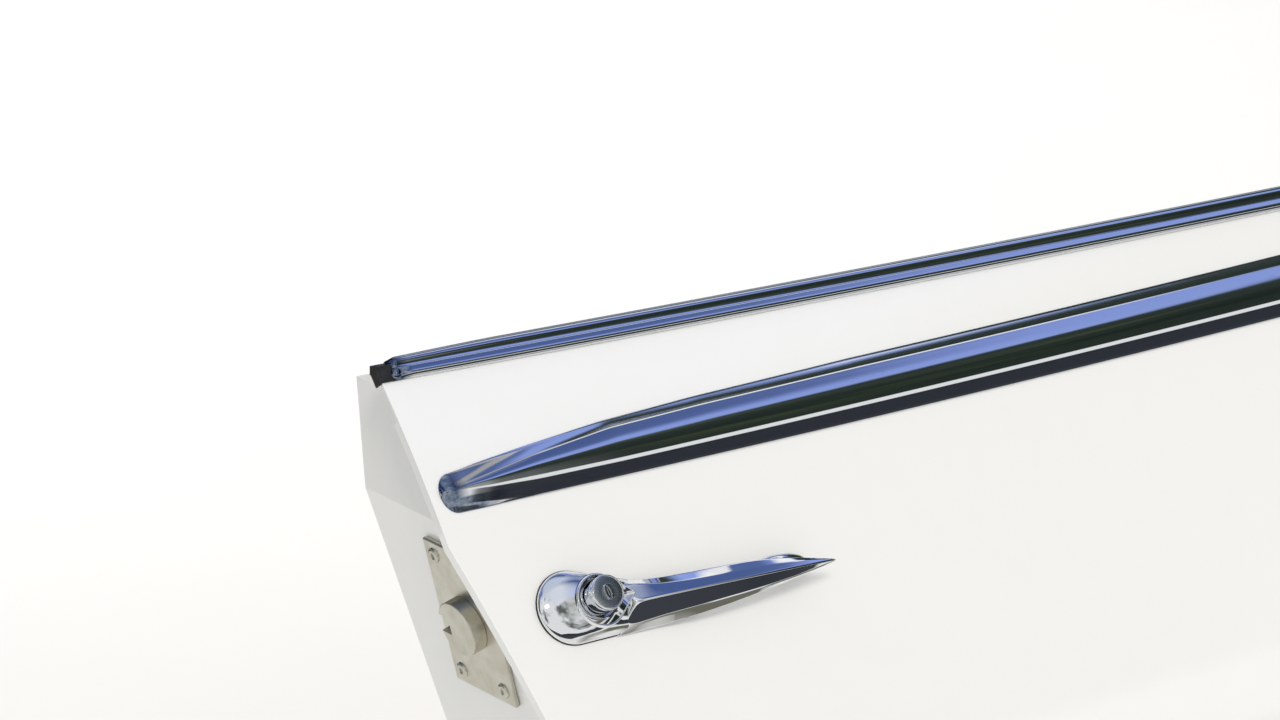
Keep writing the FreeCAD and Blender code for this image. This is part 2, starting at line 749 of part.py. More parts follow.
def make_glass_channel(name, edge, side):
    """A channel that holds one edge of the glass, with a web to the inner wall."""
    glass_out = mm.glass_in + mm.glass_thickness
    gap = mm.seal_gap

    def strip(outboard, inboard, rear, front):
        drop = mm.glass_depth + mm.channel_overrun
        run = drop * WALL_DOWN[0], drop * WALL_DOWN[1]
        level = WALL_TOP[1] - mm.frame_thickness
        shift = (level - mm.glass_top) * WALL_DOWN[0] / WALL_DOWN[1]
        face = section_face((
            (outboard + shift, level),
            (outboard + run[0], mm.glass_top + run[1]),
            (inboard + run[0], mm.glass_top + run[1]),
            (inboard + shift, level)))
        return along_belt(face, min(rear, front), max(rear, front))

    grip, end = edge - side * mm.channel_grip, edge + side * gap
    near, far = mm.glass_in - gap, glass_out + gap
    outer = strip(near - mm.channel_wall, near, grip, end)
    inner = strip(far, far + mm.channel_wall, grip, end)
    web = strip(near - mm.channel_wall, WALL_TOP[0] + mm.edge_overrun, end, end + side * mm.channel_wall)
    web = web.common(inside_door(mm.frame_thickness, False))
    solid_node(name, outer.fuse(inner).fuse(web).removeSplitter())


def make_capping_and_trim():
    """The padded roll over the ledge, the trim card on the inner wall, the armrest and the kick strip."""
    ledge = WALL_TOP[0] - mm.ledge_width
    crest = (ledge + mm.ledge_width * 0.6, WALL_TOP[1] + mm.roll_rise)
    roll = section_face((
        (ledge, WALL_TOP[1]), (ledge, WALL_TOP[1] + mm.roll_rise * 0.7), crest + ("via",),
        on_wall(mm.roll_rise / 2, mm.roll_overhang), on_wall(mm.roll_skirt, mm.roll_overhang * 0.9),
        on_wall(mm.roll_skirt, 0), WALL_TOP))
    solid_node("top_roll", along_belt(roll, FRAME_REAR, FRAME_FRONT))
    margin = mm.card_margin
    outline = side_prism(door_outline(FRAME_FRONT - margin, FRAME_FLOOR + margin, mm.rear_setback + margin,
                                      -mm.wall_top_down, (mm.card_corner, FRAME_CORNER - margin)))
    start = mm.roll_skirt + mm.seal_gap
    card = section_face((
        on_wall(start, 0), on_wall(start, mm.card_thickness),
        on_wall(WALL_RUN, mm.card_thickness), on_wall(WALL_RUN, 0)))
    solid_node("trim_card", along_belt(card, -mm.kink_back, 0).common(outline))

    top, foot = mm.armrest_down, mm.armrest_down + mm.armrest_height
    deep = mm.card_thickness + mm.armrest_depth
    edge = mm.armrest_edge
    turned = edge * (1 - math.sqrt(0.5))
    rest = section_face((
        on_wall(top, mm.card_thickness), on_wall(top, deep - edge), on_wall(top + turned, deep - turned) + ("via",),
        on_wall(top + edge, deep), on_wall(foot - mm.armrest_undercut, deep - edge),
        on_wall(foot, mm.card_thickness + mm.armrest_foot), on_wall(foot, mm.card_thickness)))
    solid_node("armrest", along_belt(rest, -mm.armrest_back, -mm.armrest_front))

    low = WALL_RUN - mm.floor_setback - margin - mm.kick_rise
    thick = mm.card_thickness + mm.kick_thickness
    kick = section_face((
        on_wall(low - mm.kick_height, mm.card_thickness), on_wall(low - mm.kick_height, thick),
        on_wall(low, thick), on_wall(low, mm.card_thickness)))
    rear, front = -FOOT_BACK + 2 * mm.kick_margin, FRAME_FRONT - margin - mm.kick_margin
    solid_node("kick_strip", along_belt(kick, rear, front))


make_belt_trim()
make_glass_channel("glass_channel_front", -mm.glass_front, 1)
make_glass_channel("glass_channel_rear", -GLASS_BACK, -1)
make_capping_and_trim()


# Rub strip: sections of one form, each turned about the plan axis to its place

STRIP_TAIL = (
    # forward of the strip's end, then below the full strip: the top edge and both ridges; share of the rise
    (-2, 11, 3, 11.4, 0.3),
    (9.5, 10.2, 3.3, 11.2, 0.55),
    (55, 5.9, 0.4, 5.5, 0.85),
    (103, 2.7, 0, 1.6, 1),
    (260, 0, 0, 0, 1),
)
STRIP_REACH = mm.plan_radius - section_out((STRIP_LOW + STRIP_HIGH) / 2)


def strip_angle(along):
    """Turn about the plan axis that takes the middle section to x, in degrees."""
    return math.degrees(math.asin((along + mm.plan_middle) / STRIP_REACH))


def strip_wire(along, top_cut, low_rise, high_cut, share):
    """The strip's section at x, its back sunk under the panel's surface."""
    high = STRIP_HIGH - top_cut
    low_ridge = STRIP_LOW + mm.lower_flange + low_rise
    high_ridge = STRIP_HIGH - mm.upper_flange - high_cut
    foot = Vector(-mm.plan_middle, section_out(STRIP_LOW), STRIP_LOW)
    climb = Vector(-mm.plan_middle, section_out(high), high) - foot
    away = Vector(0, -climb.z, climb.y).normalize()

    def spot(height, off):
        return foot + climb * ((height - STRIP_LOW) / (high - STRIP_LOW)) + away * off
    crown = (low_ridge + high_ridge) / 2
    wire = Part.makePolygon([
        spot(STRIP_LOW, -mm.strip_seat), spot(STRIP_LOW, mm.strip_edge), spot(low_ridge, mm.strip_ridge * share),
        spot(crown, mm.strip_crown * share), spot(high_ridge, mm.strip_ridge * share),
        spot(high, mm.strip_edge), spot(high, -mm.strip_seat), spot(STRIP_LOW, -mm.strip_seat)])
    wire.rotate(PLAN_AXIS, UP, strip_angle(along))
    return wire


def make_rub_strip():
    """The bright strip along the door, tapering to a rounded end at the rear."""
    tail = Part.makeLoft([strip_wire(row[0] - STRIP_BACK, *row[1:]) for row in STRIP_TAIL], True, True)
    band_face = Part.Face(strip_wire(-mm.strip_front, 0, 0, 0, 1))
    start = strip_angle(STRIP_TAIL[-1][0] - STRIP_BACK)
    band = band_face.revolve(PLAN_AXIS, UP, start - strip_angle(-mm.strip_front))
    radius = mm.strip_end_radius
    centre = Vector(-STRIP_BACK + radius, 0, STRIP_LOW + radius)
    low, high = centre - UP * radius, centre + UP * radius
    round_end = [
        line_edge(low, Vector(0, 0, STRIP_LOW)), line_edge(Vector(0, 0, STRIP_LOW), Vector(0, 0, HIGH)),
        line_edge(Vector(0, 0, HIGH), Vector(centre.x, 0, HIGH)), line_edge(Vector(centre.x, 0, HIGH), high),
        arc_edge(high, centre + Vector(-radius, 0, 0), low)]
    strip = tail.fuse(band).common(side_prism(round_end)).cut(behind_skin(0)).removeSplitter()
    solid_node("rub_strip", strip)


make_rub_strip()


# Outside handle: built in its own place on the panel, Z out, X along the blade, Y up the panel

HANDLE_SPOT = skin_point(-HANDLE_BACK, HANDLE_HEIGHT)
HANDLE_OUT = skin_normal(-HANDLE_BACK, HANDLE_HEIGHT)
HANDLE_LEVEL = UP.cross(HANDLE_OUT).normalize() * -1
HANDLE_LEVEL = HANDLE_LEVEL * (1 if HANDLE_LEVEL.x > 0 else -1)
HANDLE_PLACE = Placement(HANDLE_SPOT, Rotation(HANDLE_LEVEL, Vector(), HANDLE_OUT, "ZXY")).multiply(
    Placement(Vector(), Rotation(Vector(0, 0, 1), -mm.handle_slope)))

BLADE = (
    # along, ridge out, then how far from the blade's line and out: shoulder, top, edge and back
    (4, 9.5, 12.5, 6.5, 14.5, 2, 10, 3.5, 13.7, 0.5),
    (20, 12, 9.5, 9.5, 13.4, 4.5, 10.1, 6, 13.4, 0.8),
    (34, 13.7, 6.4, 11.4, 11, 7.2, 9, 8.4, 13, 1.5),
    (50, 14.9, 5, 12.8, 10.3, 8.5, 8.5, 10.3, 12.3, 6),
    (70, 15.9, 4.3, 14, 9.7, 10.3, 7.2, 12.3, 10.6, 9.2),
    (90, 16.6, 3.8, 15.3, 9.4, 12.1, 6.2, 13.8, 8.2, 10.6),
    (112, 16.9, 3.4, 15.8, 6.4, 13.6, 4.1, 14.8, 5, 12.3),
    (126, 16.4, 2.2, 15.6, 3, 14.3, 2, 14.9, 2.6, 13.4),
    (137, 15.6, 0.5, 15.4, 0.6, 15, 0.5, 15.1, 0.6, 14.8),
)


def blade_wire(along, ridge, shoulder, shoulder_out, top, top_out, edge, edge_out, back, back_out):
    """The blade's section: a ridge, two faces that fall from it, a bevel above, one below and a flat back."""
    spots = [Vector(along, 0, ridge), Vector(along, shoulder, shoulder_out), Vector(along, top, top_out),
             Vector(along, -back, back_out), Vector(along, -edge, edge_out)]
    wire = Part.makePolygon(spots + [spots[0]])
    wire.translate(Vector(0, -mm.blade_low, 0))
    return wire


def dish_outline(margin):
    """The dish seen along its own normal: a round rear end drawn out to a nose under the blade."""
    round_end = Vector(-mm.dish_back, -mm.dish_low, 0)
    nose = Vector(mm.nose_front, -mm.nose_low, 0)
    radius, nose_radius = mm.dish_radius + margin, mm.nose_radius + margin
    heading = math.atan2(nose.y - round_end.y, nose.x - round_end.x)
    spread = math.acos((radius - nose_radius) / round_end.distanceToPoint(nose))

    def rim(centre, reach, angle):
        return centre + Vector(math.cos(angle), math.sin(angle), 0) * reach
    ends = [[rim(round_end, radius, heading + side * spread), rim(nose, nose_radius, heading + side * spread)]
            for side in (1, -1)]
    return Part.Wire([
        arc_edge(ends[0][0], rim(round_end, radius, heading + math.pi), ends[1][0]),
        line_edge(ends[1][0], ends[1][1]),
        arc_edge(ends[1][1], rim(nose, nose_radius, heading), ends[0][1]),
        line_edge(ends[0][1], ends[0][0])])


def handle_prism(wire):
    """A closed outline carried through the panel along the handle's own normal."""
    face = Part.Face(wire)
    face.translate(Vector(0, 0, -mm.button_height))
    block = face.extrude(Vector(0, 0, 2 * mm.button_height))
    block.Placement = HANDLE_PLACE.multiply(block.Placement)
    return block


def make_handle():
    """Gasket and handle: dish, collar round the button, blade and the foot at its front."""
    foot_spot = Vector(mm.foot_reach, -mm.foot_low, 0)
    gasket = skin_layer(-mm.gasket_thickness, 0).common(handle_prism(dish_outline(mm.gasket_margin)))
    foot_print = Part.Wire(Part.makeCircle(mm.foot_radius + mm.gasket_margin, foot_spot))
    foot_pad = skin_layer(-mm.gasket_thickness, 0).common(handle_prism(foot_print))
    well = Part.makeCylinder(mm.button_radius + mm.button_play, 4 * mm.button_height,
                             Vector(0, 0, -2 * mm.button_height))
    well.Placement = HANDLE_PLACE
    solid_node("handle_gasket", Part.makeCompound([gasket.cut(well), foot_pad]))
    top = -mm.gasket_thickness - mm.dish_thickness
    dish = skin_layer(top, -mm.gasket_thickness).common(handle_prism(dish_outline(0)))
    collar = Part.makeCone(mm.collar_radius + mm.collar_flare, mm.collar_radius, mm.collar_height,
                           Vector(0, -mm.collar_low, 0))
    blade = Part.makeLoft([blade_wire(*row) for row in BLADE], True, True)
    foot = Part.makeCylinder(mm.foot_radius, mm.foot_height, foot_spot)
    raised = collar.fuse(blade).fuse(foot)
    raised.Placement = HANDLE_PLACE
    body = dish.fuse(raised).cut(behind_skin(-mm.gasket_thickness)).cut(well)
    solid_node("handle_body", body.removeSplitter())


make_handle()


def make_button():
    """The push button with its lock barrel let into the face."""
    button = new_body("push_button")
    disc = new_sketch(button, "XY_Plane", "gasket_thickness")
    add_circle(disc, ("0", "0"), "button_radius")
    pad(button, disc, "button_height")
    well = new_sketch(button, "XY_Plane", "button_height + gasket_thickness - lock_depth")
    add_circle(well, ("0", "0"), "lock_radius")
    pocket(button, well, "lock_depth * 2", both_ways=False, back=True)
    button.Placement = HANDLE_PLACE
    barrel = new_body("lock_barrel")
    plug = new_sketch(barrel, "XY_Plane", "button_height + gasket_thickness - lock_depth")
    add_circle(plug, ("0", "0"), "lock_radius")
    pad(barrel, plug, "lock_depth + lock_proud")
    slot = new_sketch(barrel, "XY_Plane", "button_height + gasket_thickness + lock_proud")
    add_rectangle(slot, ("-key_slot_width / 2", "-key_slot_length / 2"),
                  ("key_slot_width / 2", "key_slot_length / 2"))
    pocket(barrel, slot, "lock_depth * 2", both_ways=True)
    barrel.Placement = HANDLE_PLACE


make_button()


def on_card(along, down):
    return wall_placement(along, down, mm.card_thickness + mm.fitting_lift)


def make_winder():
    """The window winder: its plate, arm and knob."""
    place = on_card(-mm.winder_back, mm.winder_down)
    plate = new_body("winder_plate")
    sketch = new_sketch(plate, "XZ_Plane")
    add_circle(sketch, ("0", "0"), "winder_plate_radius")
    pad(plate, sketch, "winder_plate_height", back=True)
    plate.Placement = place
    arm = new_body("window_winder")
    sketch = new_sketch(arm, "XZ_Plane", "-winder_plate_height")
    add_circle(sketch, ("0", "0"), "winder_boss_radius")
    pad(arm, sketch, "winder_boss_height", back=True)
    level = "-winder_plate_height - winder_boss_height + winder_arm_thickness"
    sketch = new_sketch(arm, "XZ_Plane", level)
    add_rectangle(sketch, ("0", "-winder_arm_width / 2"), ("winder_arm_length", "winder_arm_width / 2"))
    pad(arm, sketch, "winder_arm_thickness", back=True)
    sketch = new_sketch(arm, "XZ_Plane", level)
    add_circle(sketch, ("winder_arm_length", "0"), "winder_arm_width / 2")
    pad(arm, sketch, "winder_arm_thickness", back=True)
    arm.Placement = place
    knob = new_body("winder_knob")
    sketch = new_sketch(knob, "XZ_Plane", "-winder_plate_height - winder_boss_height")
    add_circle(sketch, ("winder_arm_length", "0"), "knob_neck_radius")
    pad(knob, sketch, "knob_length", back=True)
    sketch = new_sketch(knob, "XZ_Plane", "-winder_plate_height - winder_boss_height - knob_neck_radius")
    add_circle(sketch, ("winder_arm_length", "0"), "knob_radius")
    pad(knob, sketch, "knob_length - knob_neck_radius", back=True)
    knob.Placement = place


def make_release():
    """The inside release: its plate and lever."""
    place = on_card(mm.release_setback - mm.kink_back, mm.release_down)
    plate = new_body("release_plate")
    sketch = new_sketch(plate, "XZ_Plane")
    add_rectangle(sketch, ("-release_plate_length / 2", "-release_plate_width / 2"),
                  ("release_plate_length / 2", "release_plate_width / 2"))
    pad(plate, sketch, "release_plate_height", back=True)
    plate.Placement = place
    lever = new_body("release_lever")
    sketch = new_sketch(lever, "XZ_Plane", "-release_plate_height")
    add_circle(sketch, ("0", "0"), "lever_boss_radius")
    pad(lever, sketch, "lever_boss_height", back=True)
    level = "-release_plate_height - lever_boss_height + lever_thickness"
    sketch = new_sketch(lever, "XZ_Plane", level)
    add_rectangle(sketch, ("0", "-lever_width / 2"), ("lever_length", "lever_width / 2"))
    pad(lever, sketch, "lever_thickness", back=True)
    lever.Placement = place


def make_pull():
    """The grab strap: two feet and a bridge that a hand goes behind."""
    pull = new_body("door_pull")
    sketch = new_sketch(pull, "XY_Plane")
    half, inner = "pull_length / 2", "pull_length / 2 - pull_foot"
    add_polygon(sketch, (
        ("-" + half, "0"), ("-(" + inner + ")", "0"),
        ("-(" + inner + ") + pull_foot / 2", "pull_rise - pull_strap"),
        (inner + " - pull_foot / 2", "pull_rise - pull_strap"), (inner, "0"), (half, "0"),
        (half, "pull_strap"), (inner, "pull_rise"), ("-(" + inner + ")", "pull_rise"),
        ("-" + half, "pull_strap")))
    pad(pull, sketch, "pull_width", both_ways=True)
    lift = mm.pull_length ** 2 / (8 * BELT.Radius)
    pull.Placement = on_card(-mm.pull_back, mm.pull_down).multiply(Placement(Vector(0, lift, 0), Rotation()))


make_winder()
make_release()
make_pull()


# Rear face: a plane below the kink; its Z points rearward, X inboard and Y up the face

REAR_SLANT = math.atan2(mm.foot_inset, KINK_HEIGHT + mm.skin_drop)
REAR_UP = Vector(-math.sin(REAR_SLANT), 0, math.cos(REAR_SLANT))
REAR_OUT = Vector(-math.cos(REAR_SLANT), 0, -math.sin(REAR_SLANT))


def on_rear_face(inboard, height):
    """A place on the inner frame's rear face."""
    climb = (height - KINK_HEIGHT) / math.cos(REAR_SLANT)
    spot = Vector(-mm.kink_back, inboard, KINK_HEIGHT) + REAR_UP * climb - REAR_OUT * mm.rear_setback
    return Placement(spot, Rotation(Vector(0, 1, 0), REAR_UP, REAR_OUT, "ZXY"))


def make_rear_fittings():
    """The latch with its claw, the dovetail below it and the rubber buffer."""
    place = on_rear_face(mm.latch_in, mm.latch_height)
    case = new_body("latch_case")
    sketch = new_sketch(case, "XY_Plane")
    add_rectangle(sketch, ("-latch_width / 2", "-latch_tall / 2"), ("latch_width / 2", "latch_tall / 2"))
    pad(case, sketch, "latch_plate")
    case.Placement = place
    claw = new_body("latch_claw")
    sketch = new_sketch(claw, "XY_Plane", "latch_plate")
    add_circle(sketch, ("0", "0"), "claw_radius")
    pad(claw, sketch, "claw_thickness")
    sketch = new_sketch(claw, "XY_Plane", "latch_plate + claw_thickness")
    add_rectangle(sketch, ("claw_hub_radius", "-claw_mouth / 2"), ("claw_radius * 2", "claw_mouth / 2"))
    pocket(claw, sketch, "claw_thickness * 4")
    claw.Placement = place
    wedge = new_body("dovetail_wedge")
    sketch = new_sketch(wedge, "XY_Plane")
    add_polygon(sketch, (
        ("-wedge_width / 2", "-wedge_tall / 2"), ("wedge_width / 2", "-wedge_tall / 2"),
        ("wedge_width / 2 - wedge_depth / 3", "wedge_tall / 2"),
        ("-wedge_width / 2 + wedge_depth / 3", "wedge_tall / 2")))
    pad(wedge, sketch, "wedge_depth")
    wedge.Placement = on_rear_face(mm.wedge_in, mm.wedge_height)
    buffer = new_body("buffer_lower")
    sketch = new_sketch(buffer, "XY_Plane")
    add_circle(sketch, ("0", "0"), "buffer_radius")
    pad(buffer, sketch, "buffer_depth")
    buffer.Placement = on_rear_face(-mm.buffer_in, mm.buffer_lower)


make_rear_fittings()


doc.recompute()
os.makedirs(NODE_FOLDER, exist_ok=True)
for item in doc.Objects:
    if "Invalid" in item.State or "Error" in item.State:
        raise ValueError(item.Label + " failed: " + str(item.State))
for item in nodes:
    if item.Shape.isNull() or not item.Shape.isValid():
        raise ValueError(item.Label + " has no valid shape")
    item.Shape.exportStep(os.path.join(NODE_FOLDER, item.Label + ".step"))
    print("%-28s %d solids %9.1f cm3" % (item.Label, len(item.Shape.Solids), item.Shape.Volume / 1000))
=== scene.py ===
"""Dressed model of the right-hand door of an open two-seat roadster.

Metres. X runs to the car's front, Y inboard, Z up, and the origin is the middle of the hinge bolts.
The outer panel is a torus, and the belt trim, the inner wall and what sits on them follow one belt arc.
"""
import math

import bmesh
import bpy
from mathutils import Matrix, Vector


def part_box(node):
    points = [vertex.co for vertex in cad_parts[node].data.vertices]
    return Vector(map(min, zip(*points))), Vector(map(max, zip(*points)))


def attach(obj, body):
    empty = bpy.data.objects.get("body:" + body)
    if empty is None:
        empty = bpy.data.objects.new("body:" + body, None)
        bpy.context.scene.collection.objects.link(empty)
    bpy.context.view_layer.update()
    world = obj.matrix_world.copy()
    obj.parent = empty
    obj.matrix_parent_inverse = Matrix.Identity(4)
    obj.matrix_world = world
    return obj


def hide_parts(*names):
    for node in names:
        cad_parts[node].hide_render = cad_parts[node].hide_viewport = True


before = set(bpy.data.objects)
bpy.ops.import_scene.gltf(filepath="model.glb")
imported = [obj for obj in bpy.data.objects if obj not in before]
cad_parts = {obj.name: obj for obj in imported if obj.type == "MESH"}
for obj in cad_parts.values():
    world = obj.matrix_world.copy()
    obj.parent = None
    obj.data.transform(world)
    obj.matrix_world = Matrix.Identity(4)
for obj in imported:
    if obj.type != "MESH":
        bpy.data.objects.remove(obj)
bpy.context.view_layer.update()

bl_info = {
    "name": "Roadster Door",
    "version": (1, 0, 0),
    "blender": (4, 5, 0),
    "location": "3D View > Sidebar > Door",
    "description": "Builds a roadster's door with its bright trim, padding, hinges and finishes",
    "category": "Add Mesh",
}

MM = 0.001


# Sizes and colours that a user may change

class DoorSettings(bpy.types.PropertyGroup):
    """Sizes and colours of the dressed door."""

    edge_radius: bpy.props.FloatProperty(
        name="Panel edge", description="Radius of the folded edge of the outer panel",
        default=1.3 * MM, min=0.2 * MM, max=1.5 * MM, unit="LENGTH")
    bead_radius: bpy.props.FloatProperty(
        name="Belt bead", description="Radius of the half-round bead along the belt",
        default=3.5 * MM, min=2 * MM, max=4 * MM, unit="LENGTH")
    strip_crown: bpy.props.FloatProperty(
        name="Strip crown", description="Height of the rub strip's crown over the panel",
        default=7.2 * MM, min=6 * MM, max=8 * MM, unit="LENGTH")
    strip_ridge: bpy.props.FloatProperty(
        name="Strip ridges", description="Height of the rub strip's two ridges over the panel",
        default=5.5 * MM, min=3 * MM, max=6 * MM, unit="LENGTH")
    stitch_pitch: bpy.props.FloatProperty(
        name="Stitch pitch", description="Distance from one stitch to the next",
        default=4.2 * MM, min=2 * MM, max=8 * MM, unit="LENGTH")
    paint_colour: bpy.props.FloatVectorProperty(
        name="Paint", description="Colour of the body paint",
        default=(0.84, 0.84, 0.825), size=3, min=0, max=1, subtype="COLOR")
    leather_colour: bpy.props.FloatVectorProperty(
        name="Leather", description="Colour of the padding's leather",
        default=(0.66, 0.32, 0.125), size=3, min=0, max=1, subtype="COLOR")


# Outer panel: the torus and places on it

PLAN_AXIS = Vector((-0.5, 8.0, 0))
UPPER_RADIUS, LOWER_RADIUS = 0.700, 0.380
JUNCTION_OUT, JUNCTION_HEIGHT, JUNCTION_TILT = -0.0875, 0.141, math.radians(28)
UPPER_CENTRE = (JUNCTION_OUT + UPPER_RADIUS * math.cos(JUNCTION_TILT),
                JUNCTION_HEIGHT - UPPER_RADIUS * math.sin(JUNCTION_TILT))
LOWER_CENTRE = (JUNCTION_OUT + LOWER_RADIUS * math.cos(JUNCTION_TILT),
                JUNCTION_HEIGHT - LOWER_RADIUS * math.sin(JUNCTION_TILT))
UP = Vector((0, 0, 1))

SKIN_FRONT, SKIN_LOW = -0.012, -0.155
KINK_BACK, KINK_HEIGHT = -1.046, 0.234
FOOT_BACK = -0.9467
BELT_BACK = -1.044
BELT_HEIGHTS = (0.3033, 0.2926, 0.2795)
CORNER_RADIUS = 0.050
SKIN_RISE = 0.0065
SKIN_THICKNESS, HEM_WIDTH, HEM_DEPTH = 0.0016, 0.011, 0.0054
FLANGE_DROP = 0.016
INNER_SIDE = 1
SHEET_TOP, SHEET_FOOT, SHEET_SWING = 0.33, SKIN_LOW - 0.01, math.radians(4)
UPPER_STEPS, LOWER_STEPS, LENGTH_STEPS, TOP_STEPS, CORNER_STEPS = 26, 36, 124, 24, 10


def section_arc(height):
    """Centre and radius of the panel section's arc at a height."""
    if height > JUNCTION_HEIGHT:
        return UPPER_CENTRE, UPPER_RADIUS
    return LOWER_CENTRE, LOWER_RADIUS


def section_out(height):
    """Y of the panel's section at a height, in the plane through the plan axis."""
    centre, radius = section_arc(height)
    return centre[0] - math.sqrt(radius ** 2 - (height - centre[1]) ** 2)


def skin_point(along, height):
    """A point of the outer surface from its x and z."""
    reach = PLAN_AXIS.y - section_out(height)
    return Vector((along, PLAN_AXIS.y - math.sqrt(reach ** 2 - (along - PLAN_AXIS.x) ** 2), height))


def skin_normal(along, height):
    """The outer surface's outward normal."""
    centre, radius = section_arc(height)
    rise = (height - centre[1]) / radius
    away = skin_point(along, height) - PLAN_AXIS
    away.z = 0
    away.normalize()
    return away * math.sqrt(1 - rise ** 2) + UP * rise


def circle_through(first, middle, last):
    """Centre, radius and axis of the circle through three points."""
    a, b = first - last, middle - last
    axis = a.cross(b)
    centre = last + (b * a.length_squared - a * b.length_squared).cross(axis) / (2 * axis.length_squared)
    axis.normalize()
    return centre, (first - centre).length, axis


# Belt: one arc through three points of the outer surface, with a middle section to carry along it

BELT_MIDDLE = skin_point(PLAN_AXIS.x, BELT_HEIGHTS[1])
BELT_CENTRE, BELT_RADIUS, BELT_AXIS = circle_through(
    skin_point(BELT_BACK, BELT_HEIGHTS[0]), BELT_MIDDLE, skin_point(SKIN_FRONT, BELT_HEIGHTS[2]))
if BELT_AXIS.z < 0:
    BELT_AXIS.negate()
FORWARD = (BELT_CENTRE - BELT_MIDDLE).normalized().cross(BELT_AXIS)
BELT_UP = (UP - FORWARD * UP.dot(FORWARD)).normalized()
BELT_IN = BELT_UP.cross(FORWARD)
BELT_NORMAL = skin_normal(PLAN_AXIS.x, BELT_HEIGHTS[1])
OFF_SKIN = (BELT_NORMAL.dot(BELT_IN), BELT_NORMAL.dot(BELT_UP))
ALONG_SKIN = (OFF_SKIN[1], -OFF_SKIN[0])

WALL_TOP = (0.048, -0.012)
WALL_FOOT = (-0.022, -0.012 - (BELT_HEIGHTS[1] - 0.012 - SKIN_LOW))
WALL_RUN = math.dist(WALL_TOP, WALL_FOOT)
WALL_DOWN = ((WALL_FOOT[0] - WALL_TOP[0]) / WALL_RUN, (WALL_FOOT[1] - WALL_TOP[1]) / WALL_RUN)
WALL_OUT = (-WALL_DOWN[1], WALL_DOWN[0])
CARD_THICKNESS = 0.003


def on_skin(climb, off):
    """(inboard, up) of a place a climb up the panel from the belt's lower edge, and off it."""
    return (climb * ALONG_SKIN[0] + off * OFF_SKIN[0], climb * ALONG_SKIN[1] + off * OFF_SKIN[1])


def on_wall(down, off):
    """(inboard, up) of a place down the inner wall from its top, and inboard of its face."""
    return (WALL_TOP[0] + down * WALL_DOWN[0] + off * WALL_OUT[0],
            WALL_TOP[1] + down * WALL_DOWN[1] + off * WALL_OUT[1])


def off_wall(spot):
    """How far a point lies above the inner wall's top, and how far inboard of its face."""
    local = belt_turn(spot.x).inverted() @ spot - BELT_MIDDLE
    inboard, up = local.dot(BELT_IN) - WALL_TOP[0], local.dot(BELT_UP) - WALL_TOP[1]
    return up, inboard * WALL_OUT[0] + up * WALL_OUT[1]


def belt_angle(along):
    """Turn about the belt's axis that takes the middle section to x."""
    return math.asin((along - PLAN_AXIS.x) / BELT_RADIUS)


def belt_spot(inboard, up):
    """A point of the middle section."""
    return BELT_MIDDLE + BELT_IN * inboard + BELT_UP * up


def belt_turn(along):
    """The move that takes the middle section to x."""
    there = Matrix.Translation(BELT_CENTRE)
    return there @ Matrix.Rotation(belt_angle(along), 4, BELT_AXIS) @ there.inverted()


def wall_frame(along, down, off):
    """A frame on the inner wall: its X forward, Y inboard and Z up the wall."""
    inboard = BELT_IN * WALL_OUT[0] + BELT_UP * WALL_OUT[1]
    climb = -(BELT_IN * WALL_DOWN[0] + BELT_UP * WALL_DOWN[1])
    here = Matrix((FORWARD, inboard, climb)).transposed().to_4x4()
    here.translation = belt_spot(*on_wall(down, off))
    return belt_turn(along) @ here


def panel_frame(along, height, slope=0.0):
    """A frame on the outer panel: its X forward and down by a slope, Y up the panel and Z out."""
    out = skin_normal(along, height)
    level = UP.cross(out).normalized()
    if level.x < 0:
        level.negate()
    here = Matrix((level, out.cross(level), out)).transposed().to_4x4()
    here.translation = skin_point(along, height)
    return here @ Matrix.Rotation(-slope, 4, "Z")


# Building with bmesh

def everything(bm):
    """All of a bmesh's points, edges and faces."""
    return bm.verts[:] + bm.edges[:] + bm.faces[:]


def closed_profile(bm, spots, radii=()):
    """A closed wire through spots, with some corners rounded, given as (index, radius)."""
    verts = [bm.verts.new(spot) for spot in spots]
    for index, vert in enumerate(verts):
        bm.edges.new((vert, verts[(index + 1) % len(verts)]))
    for index, radius in radii:
        bmesh.ops.bevel(bm, geom=[verts[index]], offset=radius, offset_type="OFFSET", segments=5, profile=0.5,
                        affect="VERTICES", material=-1)


def of_kind(items, kind):
    """The items of one bmesh type."""
    return [item for item in items if isinstance(item, kind)]


def close_ends(bm, first, last):
    """Cap the first and last rings of edges, and turn all faces outwards."""
    bmesh.ops.contextual_create(bm, geom=first)
    bmesh.ops.contextual_create(bm, geom=last)
    bmesh.ops.recalc_face_normals(bm, faces=bm.faces[:])


def drawn_through(bm, sections):
    """Extrude a closed wire from section to section, each a list of as many points, and close both ends."""
    closed_profile(bm, sections[0])
    ring, edges = bm.verts[:], bm.edges[:]
    first = edges
    for spots in sections[1:]:
        grown = bmesh.ops.extrude_edge_only(bm, edges=edges)["geom"]
        partner = {}
        for vert in of_kind(grown, bmesh.types.BMVert):
            for edge in vert.link_edges:
                if edge.other_vert(vert) in ring:
                    partner[edge.other_vert(vert)] = vert
        ring = [partner[vert] for vert in ring]
        edges = of_kind(grown, bmesh.types.BMEdge)
        for vert, spot in zip(ring, spots):
            vert.co = spot
    close_ends(bm, first, edges)


def carry(bm, centre, axis, start, finish, steps):
    """Carry the bmesh's closed wire along an arc, and close both ends."""
    bmesh.ops.rotate(bm, cent=centre, matrix=Matrix.Rotation(start, 3, axis), verts=bm.verts[:])
    first = bm.verts[:] + bm.edges[:]
    spun = bmesh.ops.spin(bm, geom=first, cent=centre, axis=axis, angle=finish - start, steps=steps,
                          use_duplicate=False)
    close_ends(bm, of_kind(first, bmesh.types.BMEdge), of_kind(spun["geom_last"], bmesh.types.BMEdge))


